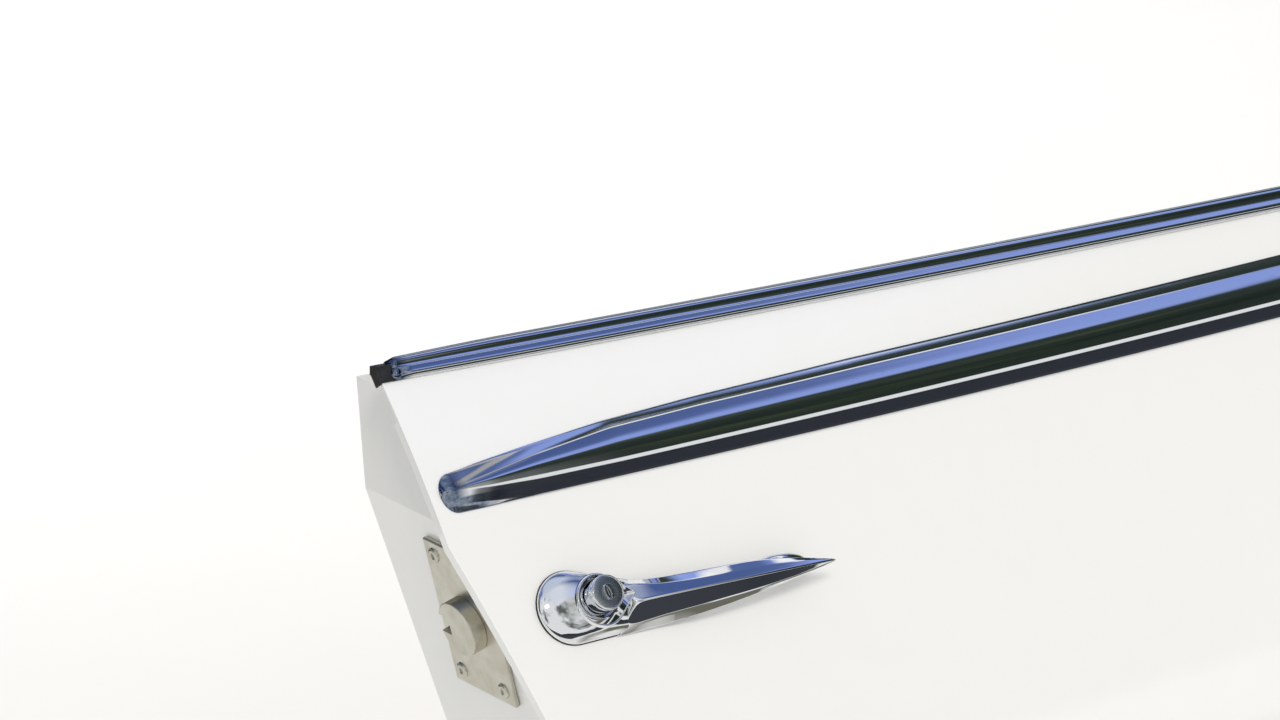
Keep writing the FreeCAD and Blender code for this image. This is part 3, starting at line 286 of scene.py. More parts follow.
def along_belt(spots, rear, front, steps, radii=()):
    """A bmesh of a belt section carried from x = rear to x = front."""
    bm = bmesh.new()
    closed_profile(bm, [belt_spot(*spot) for spot in spots], radii)
    carry(bm, BELT_CENTRE, BELT_AXIS, belt_angle(rear), belt_angle(front), steps)
    return bm


def turned(bm, points, steps=48, place=Matrix.Identity(4)):
    """Turn a line of (radius, height) points about the Z axis of a place, joining what meets on the axis."""
    verts = [bm.verts.new(place @ Vector((radius, 0, height))) for radius, height in points]
    edges = [bm.edges.new(pair) for pair in zip(verts, verts[1:])]
    centre = place.translation
    axis = place.to_3x3() @ UP
    bmesh.ops.spin(bm, geom=verts + edges, cent=centre, axis=axis, angle=math.tau, steps=steps,
                   use_merge=True, use_duplicate=False)
    bmesh.ops.remove_doubles(bm, verts=bm.verts[:], dist=0.01 * MM)
    bmesh.ops.recalc_face_normals(bm, faces=bm.faces[:])


def copy_of(node):
    """A merged bmesh of a CAD node, with its flat faces made whole."""
    bm = bmesh.new()
    bm.from_mesh(bpy.data.objects[node].data)
    bmesh.ops.remove_doubles(bm, verts=bm.verts[:], dist=0.005 * MM)
    bmesh.ops.dissolve_limit(bm, angle_limit=math.radians(0.5), verts=bm.verts[:], edges=bm.edges[:],
                             use_dissolve_boundaries=False, delimit=set())
    return bm


SLOTS = {
    # the CAD's slot that each finish stands for
    "paint": "paint", "chrome": "chrome", "lock": "chrome", "strip": "bright_strip", "rubber": "rubber",
    "leather": "tan_leather", "thread": "tan_leather", "trim": "tan_trim", "hinge": "hinge_steel",
    "pin": "pin_steel", "latch": "latch_steel", "plastic": "black_plastic",
}


def finish_piece(name, bm, finish, body="door", slot=None, replaced=(), edge=0.0, segments=3, angle=35,
                 weighted=True):
    """Make a bmesh an object with its finish, its body and its rounded edges."""
    mesh = bpy.data.meshes.new(name)
    bm.to_mesh(mesh)
    bm.free()
    for face in mesh.polygons:
        face.use_smooth = True
    piece = bpy.data.objects.new(name, mesh)
    bpy.context.scene.collection.objects.link(piece)
    mesh.materials.append(MATERIALS[finish])
    if edge:
        bevel = piece.modifiers.new("Edges", "BEVEL")
        bevel.width = edge
        bevel.segments = segments
        bevel.limit_method = "ANGLE"
        bevel.angle_limit = math.radians(angle)
        bevel.use_clamp_overlap = True
    if weighted:
        normals = piece.modifiers.new("Normals", "WEIGHTED_NORMAL")
        normals.keep_sharp = True
        normals.weight = 80
    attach(piece, body)
    slot = slot or SLOTS[finish]
    if replaced:
        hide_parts(*replaced)
    return piece


def dress(node, finish):
    """Give a CAD node its finish."""
    for slot in bpy.data.objects[node].material_slots:
        slot.material = MATERIALS[finish]


# Shader maths

class Value:
    """A socket of a node tree, for use in sums."""

    def __init__(self, finish, socket):
        self.finish = finish
        self.socket = socket

    def sum(self, operation, first, second):
        """A Math node on two numbers or sockets."""
        return self.finish.node("ShaderNodeMath", {"operation": operation}, {0: first, 1: second})

    def __add__(self, other):
        return self.sum("ADD", self, other)

    def __radd__(self, other):
        return self.sum("ADD", other, self)

    def __sub__(self, other):
        return self.sum("SUBTRACT", self, other)

    def __rsub__(self, other):
        return self.sum("SUBTRACT", other, self)

    def __mul__(self, other):
        return self.sum("MULTIPLY", self, other)

    def __rmul__(self, other):
        return self.sum("MULTIPLY", other, self)

    def __truediv__(self, other):
        return self.sum("DIVIDE", self, other)


class Finish:
    """A node tree with short calls for its nodes; for a material it holds the shader too."""

    def __init__(self, name, tree=None):
        self.material = None
        if tree is None:
            self.material = bpy.data.materials.new(name)
            self.material.use_nodes = True
            tree = self.material.node_tree
            self.shader = next(node for node in tree.nodes if node.type == "BSDF_PRINCIPLED")
            self.output = next(node for node in tree.nodes if node.type == "OUTPUT_MATERIAL")
        self.tree = tree

    def plug(self, socket, value):
        """Set a socket to a number or colour, or link it to a value."""
        if isinstance(value, Value):
            self.tree.links.new(value.socket, socket)
        elif socket.type == "RGBA" and len(value) == 3:
            socket.default_value = (*value, 1)
        else:
            socket.default_value = value

    def node(self, kind, settings=None, inputs=None, out=0):
        """Add a node with its settings first, then its inputs, and return one of its outputs."""
        node = self.tree.nodes.new(kind)
        for key, setting in (settings or {}).items():
            if key == "stops":
                ramp = node.color_ramp
                while len(ramp.elements) < len(setting):
                    ramp.elements.new(0.5)
                for element, (place, colour) in zip(ramp.elements, setting):
                    element.position = place
                    element.color = (*colour, 1)
            else:
                setattr(node, key, setting)
        for key, value in (inputs or {}).items():
            self.plug(node.inputs[key], value)
        return Value(self, node.outputs[out])

    def surface(self, **values):
        """Set or link the shader's sockets; a space in a socket's name is written as an underscore."""
        for key, value in values.items():
            self.plug(self.shader.inputs[key.replace("_", " ")], value)

    def where(self):
        """Object coordinates."""
        return self.node("ShaderNodeTexCoord", out="Object")

    def axis(self, letter):
        """One of the Object coordinates."""
        return self.node("ShaderNodeSeparateXYZ", {}, {0: self.where()}, letter)

    def between(self, value, none, full):
        """0 up to one number and 1 from the other."""
        return self.node("ShaderNodeMapRange", {}, {0: value, 1: none, 2: full})

    def stretched(self, scale, turn=(0, 0, 0)):
        """Object coordinates, scaled by axis and turned."""
        return self.node("ShaderNodeMapping", {}, {"Vector": self.where(), "Scale": scale, "Rotation": turn})

    def grain(self, scale, detail=3.0, roughness=0.5, vector=None):
        """Noise of so many cells to the metre, or to the unit of a vector."""
        return self.node("ShaderNodeTexNoise", {}, {
            "Vector": vector or self.where(), "Scale": scale, "Detail": detail, "Roughness": roughness}, "Fac")

    def cells(self, scale, feature="F1", out="Distance"):
        """Scattered cells, so many to the metre."""
        return self.node("ShaderNodeTexVoronoi", {"feature": feature}, {
            "Vector": self.where(), "Scale": scale}, out)

    def ramp(self, value, *stops):
        """A number from a number, through grey stops."""
        greys = [(place, (grey, grey, grey)) for place, grey in stops]
        return self.node("ShaderNodeValToRGB", {"stops": greys}, {"Fac": value})

    def blend(self, factor, first, second):
        """A colour between two, by a factor."""
        return self.node("ShaderNodeMix", {"data_type": "RGBA"}, {0: factor, 6: first, 7: second}, out=2)

    def bump(self, height, strength, distance, normal=None):
        """A normal roughened by a height, on top of another normal if there is one."""
        inputs = {"Height": height, "Strength": strength, "Distance": distance}
        if normal:
            inputs["Normal"] = normal
        return self.node("ShaderNodeBump", {}, inputs)


def shade(colour, factor):
    """A colour made darker or lighter."""
    return tuple(min(1.0, part * factor) for part in colour)


# Finishes

def paint(name, colour, gloss, peel):
    """Body paint: fine orange peel under a clear coat, faint road dust and uneven polish."""
    f = Finish(name)
    dust = f.ramp(f.grain(38, 6, 0.6), (0.45, 0), (0.8, 1))
    specks = f.ramp(f.cells(420), (0.0, 1), (0.06, 0))
    clean = f.blend(f.grain(2.3, 2), shade(colour, 0.985), shade(colour, 1.015))
    soiled = f.blend(dust * 0.05, clean, shade(colour, 0.72))
    f.surface(Base_Color=f.blend(specks * 0.12, soiled, shade(colour, 0.55)),
              Roughness=gloss + 0.08 * dust, Coat_Weight=1.0 - 0.06 * dust, Coat_Roughness=0.025, Coat_IOR=1.5,
              Normal=f.bump(f.grain(260, 2, 0.4), peel, 0.02 * MM))
    return f.material


def chrome(name, colour, roughness):
    """Plated metal: near mirror, with polishing haze, hairlines and water spots."""
    f = Finish(name)
    haze = f.ramp(f.grain(55, 5, 0.65), (0.42, 0), (0.75, 1))
    spots = f.ramp(f.cells(300), (0.0, 1), (0.10, 0))
    hairlines = f.grain(30, 2, 0.5, f.stretched((3, 60, 60), (0.3, 0.2, 0.5)))
    f.surface(Base_Color=f.blend(spots * 0.2 + haze * 0.1, colour, shade(colour, 0.72)), Metallic=1.0,
              Roughness=roughness + 0.05 * haze + 0.10 * spots,
              Normal=f.bump(hairlines, 0.05, 0.02 * MM))
    return f.material


def bright_strip(name):
    """Polished stainless: drawn lengthwise, shallow waves, scuffs, dull specks, painted dark blue reflection at
    the tail.
    """
    f = Finish(name)
    colour = (0.80, 0.81, 0.83)
    drawn = f.grain(60, 2, 0.5, f.stretched((0.5, 18, 18)))
    waves = f.grain(16, 2, 0.5, f.stretched((1, 1.6, 1.6)))
    scuffs = f.ramp(f.grain(90, 6, 0.75, f.stretched((0.35, 1, 1))), (0.62, 0), (0.74, 1))
    specks = f.ramp(f.cells(620), (0.0, 1), (0.10, 0.9), (0.16, 0))
    film = f.ramp(f.grain(24, 5, 0.7), (0.45, 0.1), (0.75, 1))
    wear = scuffs * 0.35 + specks * film * 0.6
    along = f.axis("X")
    # painted reflection: the strip's rear end, and the low side of its tail, are mottled dark blue as if
    # mirroring sky and foliage
    end = f.between(along, STRIP_BACK + 14 * MM, STRIP_BACK + 7 * MM)
    tail = f.between(along, STRIP_BACK + 38 * MM, STRIP_BACK + 20 * MM)
    low = f.between(f.axis("Z"), STRIP_LOW + 8.0 * MM, STRIP_LOW + 7.0 * MM)
    mottle = f.ramp(f.grain(150, 5, 0.7, f.stretched((0.5, 1, 1))), (0.42, 1), (0.62, 0))
    painted_tail_reflection = (end + (tail - end) * low) * (0.60 + 0.40 * mottle)
    worn = f.blend(wear, colour, (0.52, 0.53, 0.55))
    f.surface(Base_Color=f.blend(painted_tail_reflection, worn, (0.10, 0.14, 0.22)), Metallic=1.0,
              Roughness=0.05 + 0.05 * drawn + 0.22 * wear,
              Normal=f.bump(waves, 0.14, 0.25 * MM, f.bump(drawn, 0.04, 0.02 * MM)))
    return f.material


def rubber(name):
    """Weathered black rubber: a fine grain with greyed high spots."""
    f = Finish(name)
    grain = f.grain(900, 3, 0.6)
    bloom = f.ramp(f.grain(45, 5, 0.6), (0.4, 0), (0.8, 1))
    f.surface(Base_Color=f.blend(bloom, (0.014, 0.014, 0.015), (0.045, 0.045, 0.044)),
              Roughness=0.55 + 0.25 * bloom, Normal=f.bump(grain, 0.25, 0.06 * MM))
    return f.material


def window_pane(name):
    """Slightly green glass with wiping marks."""
    f = Finish(name)
    marks = f.ramp(f.grain(26, 5, 0.7, f.stretched((1, 1, 0.3))), (0.5, 0), (0.8, 1))
    f.surface(Base_Color=f.blend(marks, (0.86, 0.95, 0.91), (0.80, 0.88, 0.85)), Roughness=0.01 + 0.04 * marks,
              Transmission_Weight=1.0, IOR=1.52)
    return f.material


def leather(name, colour, pores, depth):
    """Hide: pebbled grain with a few soft creases, a little darker in the valleys and paler where hands rub."""
    f = Finish(name)
    pebble = f.cells(pores, "SMOOTH_F1")
    fine = f.grain(pores * 3, 3, 0.6)
    creases = f.ramp(f.grain(24, 4, 0.55, f.stretched((0.35, 1, 1))), (0.485, 0), (0.5, 1), (0.515, 0))
    rubbed = f.ramp(f.grain(6, 4), (0.45, 0), (0.7, 1))
    height = pebble * 0.7 + fine * 0.3 - creases * 0.5
    tone = f.blend(rubbed, shade(colour, 0.95), shade(colour, 1.07))
    valley = f.blend(f.ramp(pebble, (0.15, 0), (0.6, 1)), shade(colour, 0.80), tone)
    f.surface(Base_Color=f.blend(creases * 0.22, valley, shade(colour, 0.6)),
              Roughness=0.38 + 0.18 * pebble + 0.08 * rubbed, Sheen_Weight=0.08,
              Normal=f.bump(height, 0.4, depth))
    return f.material


def thread(name, colour):
    """Waxed sewing thread, laid in two twisted plies."""
    f = Finish(name)
    plies = f.node("ShaderNodeTexWave", {"wave_type": "BANDS"}, {
        "Vector": f.stretched((1, 1, 1), (0.4, 0.6, 0.7)), "Scale": 900, "Distortion": 1.0}, "Fac")
    f.surface(Base_Color=f.blend(plies, shade(colour, 0.7), colour), Roughness=0.6,
              Normal=f.bump(plies, 0.5, 0.08 * MM))
    return f.material


def plated_steel(name, colour, roughness, tint):
    """Plated or bare steel: mill grain, stained patches and fine scratches."""
    f = Finish(name)
    stain = f.ramp(f.grain(70, 6, 0.65), (0.4, 0), (0.72, 1))
    scratches = f.ramp(f.grain(40, 3, 0.6, f.stretched((2, 40, 3), (0.5, 0.3, 0.9))), (0.58, 0), (0.7, 1))
    f.surface(Base_Color=f.blend(stain * 0.6, colour, tint), Metallic=1.0,
              Roughness=roughness + 0.12 * stain + 0.1 * scratches,
              Normal=f.bump(scratches + f.grain(500, 2) * 0.5, 0.2, 0.03 * MM))
    return f.material


def galvanised(name):
    """Zinc-dipped channel with its spangle."""
    f = Finish(name)
    spangle = f.cells(140, out="Color")
    tone = f.node("ShaderNodeRGBToBW", {}, {0: spangle})
    f.surface(Base_Color=f.blend(tone, (0.42, 0.44, 0.46), (0.60, 0.62, 0.64)), Metallic=1.0,
              Roughness=0.3 + 0.25 * tone, Normal=f.bump(tone, 0.1, 0.03 * MM))
    return f.material


def hard_plastic(name):
    """Turned black plastic with a hand-worn polish."""
    f = Finish(name)
    wear = f.ramp(f.grain(120, 5, 0.6), (0.4, 0), (0.8, 1))
    f.surface(Base_Color=f.blend(wear, (0.012, 0.012, 0.013), (0.03, 0.03, 0.031)),
              Roughness=0.16 + 0.16 * wear, Normal=f.bump(f.grain(700, 2), 0.05, 0.02 * MM))
    return f.material


def lock_face(name, centre, colour):
    """Satin metal turned on a lathe: rings round the middle of the lock."""
    f = Finish(name)
    offset = f.node("ShaderNodeVectorMath", {"operation": "DISTANCE"}, {
        0: f.where(), 1: tuple(centre)}, "Value")
    rings = f.node("ShaderNodeMath", {"operation": "SINE"}, {0: offset * 22000.0})
    haze = f.grain(240, 4)
    f.surface(Base_Color=f.blend(haze, colour, shade(colour, 0.8)), Metallic=1.0,
              Roughness=0.2 + 0.12 * haze, Normal=f.bump(rings, 0.03, 0.02 * MM))
    return f.material


MATERIALS = {}


def make_materials(settings):
    """Make each finish once."""
    paint_colour = tuple(settings.paint_colour)
    tan = tuple(settings.leather_colour)
    MATERIALS.update(
        paint=paint("Body paint", paint_colour, 0.32, 0.05),
        inner_paint=paint("Inside paint", shade(paint_colour, 0.97), 0.42, 0.12),
        chrome=chrome("Chrome plate", (0.86, 0.87, 0.89), 0.03),
        lock=lock_face("Lock face", HANDLE_FRAME @ Vector((0, 0, BUTTON_TOP)), (0.56, 0.60, 0.66)),
        strip=bright_strip("Polished stainless"),
        rubber=rubber("Black rubber"),
        glass=window_pane("Window glass"),
        leather=leather("Tan leather", tan, 950, 0.14 * MM),
        trim=leather("Tan trim", shade(tan, 0.94), 1300, 0.09 * MM),
        thread=thread("Sewing thread", (0.82, 0.60, 0.36)),
        hinge=plated_steel("Hinge steel", (0.42, 0.42, 0.43), 0.4, (0.30, 0.28, 0.26)),
        pin=plated_steel("Pin steel", (0.66, 0.66, 0.67), 0.22, (0.48, 0.46, 0.44)),
        latch=plated_steel("Zinc plate", (0.68, 0.66, 0.58), 0.28, (0.52, 0.47, 0.36)),
        channel=galvanised("Galvanised channel"),
        plastic=hard_plastic("Black knob"),
    )


# Outer panel

def outline_planes(margin):
    """Points and outward normals of flats that bound the panel's outline, drawn in by a margin."""
    slant = Vector((FOOT_BACK - KINK_BACK, 0, SKIN_LOW - KINK_HEIGHT)).normalized()
    rear_out = Vector((slant.z, 0, -slant.x))
    lean = Vector((BELT_BACK - KINK_BACK, 0, BELT_HEIGHTS[0] - KINK_HEIGHT)).normalized()
    upper_out = Vector((-lean.z, 0, lean.x))
    front_foot = Vector((SKIN_FRONT, 0, SKIN_LOW))
    foot = Vector((FOOT_BACK, 0, SKIN_LOW))
    kink = Vector((KINK_BACK, 0, KINK_HEIGHT))
    sides = [(front_foot, Vector((1, 0, 0))), (front_foot, Vector((0, 0, -1))), (kink, rear_out),
             (kink, upper_out)]
    for spot, before, after in ((front_foot, sides[0][1], sides[1][1]), (foot, sides[1][1], sides[2][1])):
        half = before.angle(after) / 2
        centre = spot - (before + after).normalized() * (CORNER_RADIUS / math.cos(half))
        for step in range(1, CORNER_STEPS):
            out = before.slerp(after, step / CORNER_STEPS)
            sides.append((centre + out * CORNER_RADIUS, out))
    return [(spot - out * margin, out) for spot, out in sides]


def top_planes(drop):
    """Flats along the belt's arc, lifted over the belt's lower edge by the skin's rise less a drop."""
    lift = Vector((0, 0, SKIN_RISE - drop))
    ends = [Vector((along, 0, height)) + lift
            for along, height in zip((BELT_BACK, PLAN_AXIS.x, SKIN_FRONT), BELT_HEIGHTS)]
    centre, radius, _ = circle_through(*ends)
    planes = []
    for step in range(TOP_STEPS + 1):
        along = KINK_BACK + (SKIN_FRONT - KINK_BACK) * step / TOP_STEPS
        out = Vector((along - centre.x, 0, math.sqrt(radius ** 2 - (along - centre.x) ** 2))).normalized()
        planes.append((centre + out * radius, out))
    return planes


def cut(bm, planes, inner_only=False, clear=True):
    """Cut a bmesh by flats: all of it, clearing what lies outside them, or only its inner faces."""
    for spot, out in planes:
        geometry = everything(bm)
        if inner_only:
            chosen = [face for face in bm.faces if face.material_index == INNER_SIDE]
            rims = dict.fromkeys(item for face in chosen for item in (*face.verts, *face.edges))
            geometry = [*rims, *chosen]
        bmesh.ops.bisect_plane(bm, geom=geometry, dist=0.001 * MM, plane_co=spot, plane_no=out,
                               clear_outer=clear, clear_inner=False)


def settle_border(bm, reach):
    """Join points that lie close to the border to it, so that no sliver is left beside it."""
    border = {vert for edge in bm.edges if edge.is_boundary for vert in edge.verts}
    moves = {}
    for vert in bm.verts:
        if vert in border:
            continue
        near = [edge.other_vert(vert) for edge in vert.link_edges if edge.other_vert(vert) in border]
        near = [other for other in near if (other.co - vert.co).length < reach]
        if near:
            moves[vert] = min(near, key=lambda other: (other.co - vert.co).length)
    bmesh.ops.weld_verts(bm, targetmap=moves)
    border = [vert for vert in bm.verts if vert.is_boundary]
    bmesh.ops.remove_doubles(bm, verts=border, dist=0.8 * MM)


def panel_surface():
    """The outer surface inside its outline, as an open sheet."""
    bm = bmesh.new()
    start = bm.verts.new((PLAN_AXIS.x, JUNCTION_OUT, JUNCTION_HEIGHT))
    upper = math.asin((SHEET_TOP - UPPER_CENTRE[1]) / UPPER_RADIUS) - JUNCTION_TILT
    lower = JUNCTION_TILT - math.asin((SHEET_FOOT - LOWER_CENTRE[1]) / LOWER_RADIUS)
    for centre, angle, steps in ((UPPER_CENTRE, -upper, UPPER_STEPS), (LOWER_CENTRE, lower, LOWER_STEPS)):
        bmesh.ops.spin(bm, geom=[start], cent=(PLAN_AXIS.x, *centre), axis=(1, 0, 0), angle=angle, steps=steps,
                       use_duplicate=False)
    bmesh.ops.rotate(bm, cent=PLAN_AXIS, matrix=Matrix.Rotation(-SHEET_SWING, 3, "Z"), verts=bm.verts[:])
    bmesh.ops.spin(bm, geom=bm.verts[:] + bm.edges[:], cent=PLAN_AXIS, axis=UP, angle=2 * SHEET_SWING,
                   steps=LENGTH_STEPS, use_duplicate=False)
    cut(bm, outline_planes(0) + top_planes(0))
    bmesh.ops.remove_doubles(bm, verts=bm.verts[:], dist=0.05 * MM)
    settle_border(bm, 3 * MM)
    bmesh.ops.recalc_face_normals(bm, faces=bm.faces[:])
    bm.faces.ensure_lookup_table()
    if bm.faces[0].normal.y > 0:
        bmesh.ops.reverse_faces(bm, faces=bm.faces[:])
    return bm


def push_in(verts, depth):
    """Move points of the panel inboard along its normal."""
    for vert in verts:
        vert.co -= skin_normal(vert.co.x, vert.co.z) * depth


def build_panel(settings):
    """The outer panel: one sheet with a thicker hem folded round its front, foot and rear."""
    bm = panel_surface()
    sheet = bmesh.ops.extrude_face_region(bm, geom=bm.faces[:])
    inner = of_kind(sheet["geom"], bmesh.types.BMFace)
    bmesh.ops.reverse_faces(bm, faces=inner)
    push_in({vert for face in inner for vert in face.verts}, SKIN_THICKNESS)
    for face in inner:
        face.material_index = INNER_SIDE
    sides, tops = outline_planes(HEM_WIDTH), top_planes(SKIN_RISE + FLANGE_DROP)
    cut(bm, sides + tops, inner_only=True, clear=False)
    hem = []
    for face in bm.faces:
        if face.material_index != INNER_SIDE:
            continue
        face.material_index = 0
        middle = face.calc_center_median()
        beyond = any((middle - spot).dot(out) > 0 for spot, out in sides)
        if beyond and all((middle - spot).dot(out) < 0 for spot, out in tops):
            hem.append(face)
    ring = bmesh.ops.extrude_face_region(bm, geom=hem)
    push_in(of_kind(ring["geom"], bmesh.types.BMVert), HEM_DEPTH - SKIN_THICKNESS)
    bmesh.ops.delete(bm, geom=hem, context="FACES_ONLY")
    bmesh.ops.recalc_face_normals(bm, faces=bm.faces[:])
    finish_piece("door_panel", bm, "paint", replaced=["outer_skin"],
                 edge=settings.edge_radius, segments=4, angle=40)


# Belt trim

MOULDING_BACK, MOULDING_FRONT = -1.0385, -0.014
MOULDING_WALL, MOULDING_SPAN = 1.2 * MM, 13.2 * MM
LIP_WIDTH, LIP_DEPTH, SEAT_GAP = 3 * MM, 9 * MM, 0.2 * MM
MOULDING_TAPER, TAPER_LENGTH, END_ROUND = 1.4 * MM, 0.070, 0.009
BALL_INSET, BEAD_SUNK = 3 * MM, 0.9 * MM
END_DRAW, END_DROP = 3.5 * MM, 0.9 * MM
LIP_TOP = on_skin(MOULDING_SPAN, MOULDING_WALL)
LIP_INNER = LIP_TOP[0] + LIP_WIDTH
LIP_FOOT = [(LIP_INNER, LIP_TOP[1] - LIP_DEPTH), (LIP_INNER - MOULDING_WALL, LIP_TOP[1] - LIP_DEPTH)]

BEAD_RADIUS = 3.5 * MM
BEAD = (
    # millimetres up the panel and off it: a round lower side, then a gently crowned face
    (0.15, 1.1), (0.5, 1.9), (1.05, 2.6), (1.75, 3.15), (2.5, 3.45), (3.6, 3.38), (4.7, 3.2), (5.8, 2.9),
    (6.3, 2.7), (6.55, 2.4), (6.7, 1.2),
)


def draw_in_end(bm, bead):
    """At the moulding's rear end, taper and round its upper side and sink its bead into the ball."""
    climb_way = BELT_IN * ALONG_SKIN[0] + BELT_UP * ALONG_SKIN[1]
    off_way = BELT_IN * OFF_SKIN[0] + BELT_UP * OFF_SKIN[1]
    for vert in [vert for vert in bm.verts if vert.co.x < MOULDING_BACK + TAPER_LENGTH]:
        reach = max(0.0, vert.co.x - MOULDING_BACK)
        local = belt_turn(vert.co.x).inverted() @ vert.co - BELT_MIDDLE
        climb, off = local.dot(climb_way), local.dot(off_way)
        if climb > 2 * bead:
            outer = min(1.0, (climb - 2 * bead) / (6 * MM))
            taper = MOULDING_TAPER * (1 - reach / TAPER_LENGTH) ** 1.5
            rounding = 1 - math.sqrt(max(0.0, 1 - max(0.0, 1 - reach / END_ROUND) ** 2))
            vert.co -= climb_way * outer * (taper + END_DRAW * rounding)
            vert.co -= off_way * outer * END_DROP * rounding
        elif off > MOULDING_WALL and reach < BALL_INSET:
            vert.co -= off_way * (off - BEAD_SUNK)


def build_moulding(bead):
    """Belt moulding: a lip over the glass slot, a shallow channel, and a crowned bead with a ball end."""
    scale = bead / BEAD_RADIUS
    spots = [on_skin(0, SEAT_GAP)]
    spots += [on_skin(climb * scale * MM, off * scale * MM) for climb, off in BEAD]
    spots += [
        on_skin(2 * bead, 0.8 * MM), on_skin(MOULDING_SPAN - 3.2 * MM, 1.1 * MM),
        on_skin(MOULDING_SPAN - 2.7 * MM, 1.75 * MM), on_skin(MOULDING_SPAN - 0.8 * MM, 1.45 * MM),
        (LIP_INNER - 1.0 * MM, LIP_TOP[1] + 0.1 * MM), (LIP_INNER, LIP_TOP[1] - 0.9 * MM), *LIP_FOOT,
        (LIP_INNER - MOULDING_WALL, LIP_TOP[1] - 1.8 * MM),
        on_skin(MOULDING_SPAN - MOULDING_WALL, 2 * SEAT_GAP)]
    bm = along_belt(spots, MOULDING_BACK, MOULDING_FRONT, 180)
    draw_in_end(bm, bead)
    ball = belt_turn(MOULDING_BACK + BALL_INSET) @ belt_spot(*on_skin(bead, SEAT_GAP))
    bmesh.ops.create_uvsphere(bm, u_segments=40, v_segments=28, radius=bead, matrix=Matrix.Translation(ball))
    finish_piece("belt_bright_moulding", bm, "strip", replaced=["belt_moulding"])


def build_end_block():
    """Rubber block behind the moulding's ball: a core under the moulding and a cap over the panel's edge."""
    crown = [on_skin(0, 1.4 * MM), on_skin(MOULDING_SPAN - 4.5 * MM, 1.6 * MM),
             (LIP_INNER, LIP_TOP[1] - 4 * MM), *LIP_FOOT]
    core = [on_skin(0, SEAT_GAP), *crown, on_skin(MOULDING_SPAN - 5 * MM, 2 * SEAT_GAP)]
    cap = [on_skin(-0.5 * MM, 0.2 * MM), *crown, on_skin(0.5 * MM, -6 * MM)]
    bm = along_belt(core, BELT_BACK - 0.6 * MM, MOULDING_BACK + 2 * MM, 6)
    end = along_belt(cap, BELT_BACK - 1.6 * MM, BELT_BACK - 0.5 * MM, 2)
    spare = bpy.data.meshes.new("belt end")
    end.to_mesh(spare)
    end.free()
    bm.from_mesh(spare)
    bpy.data.meshes.remove(spare)
    finish_piece("belt_end_block", bm, "rubber", replaced=["belt_end_rubber"], edge=0.5 * MM)


def build_belt(settings):
    """What runs along the belt: the moulding, its end block, the glass with its seals, and the channels."""
    build_moulding(settings.bead_radius)
    build_end_block()
    for node, name in (("outer_glass_seal", "outer_wiper"), ("inner_glass_seal", "inner_wiper")):
        finish_piece(name, copy_of(node), "rubber", replaced=[node], edge=0.8 * MM)
    dress("window_glass", "glass")
    for node in ("glass_channel_front", "glass_channel_rear"):
        dress(node, "channel")


# Rub strip

STRIP_LOW, STRIP_TALL = 0.2470, 0.0267
STRIP_BACK, STRIP_FRONT = -1.0395, -0.014
STRIP_END_RADIUS = 0.008
STRIP_SEAT = 0.6 * MM
LOWER_FLANGE, UPPER_FLANGE = 5.2 * MM, 5.9 * MM
LOWER_LINE, UPPER_LINE = 1.45 * MM, 0.6 * MM
LOWER_STEEP, UPPER_STEEP = 0.535, 0.675
STRIP_EDGE, STRIP_DIP = 0.9 * MM, 0.3 * MM
FULL_BAND, WIDE_BAND = STRIP_TALL - LOWER_FLANGE - UPPER_FLANGE - LOWER_LINE, 9 * MM


def between_stops(value, stops):
    """A number read from stops (place, number), in a straight line from one to the next."""
    for (before, low), (after, high) in zip(stops, stops[1:]):
        if value <= after:
            share = max(0.0, (value - before) / (after - before))
            return low + (high - low) * share
    return stops[-1][1]


STRIP_TAIL = (
    # millimetres forward of the strip's end, the top edge's cut, the lower ridge's rise, the upper ridge's cut,
    # the ridges' share of their height, and the flat rim below the lower flange
    (0, 10.4 * MM, 2.9 * MM, 11.6 * MM, 0.78, 1.2 * MM),
    (9, 10.2 * MM, 2.7 * MM, 11.5 * MM, 0.92, 1.2 * MM),
    (28, 8.2 * MM, 1.3 * MM, 9.2 * MM, 0.99, 0.7 * MM),
    (55, 5.9 * MM, 0.4 * MM, 5.9 * MM, 1.0, 0.15 * MM),
    (103, 2.7 * MM, 0.0, 1.8 * MM, 1.0, 0.0),
    (160, 1.1 * MM, 0.0, 0.6 * MM, 1.0, 0.0),
    (260, 0.0, 0.0, 0.0, 1.0, 0.0),
)


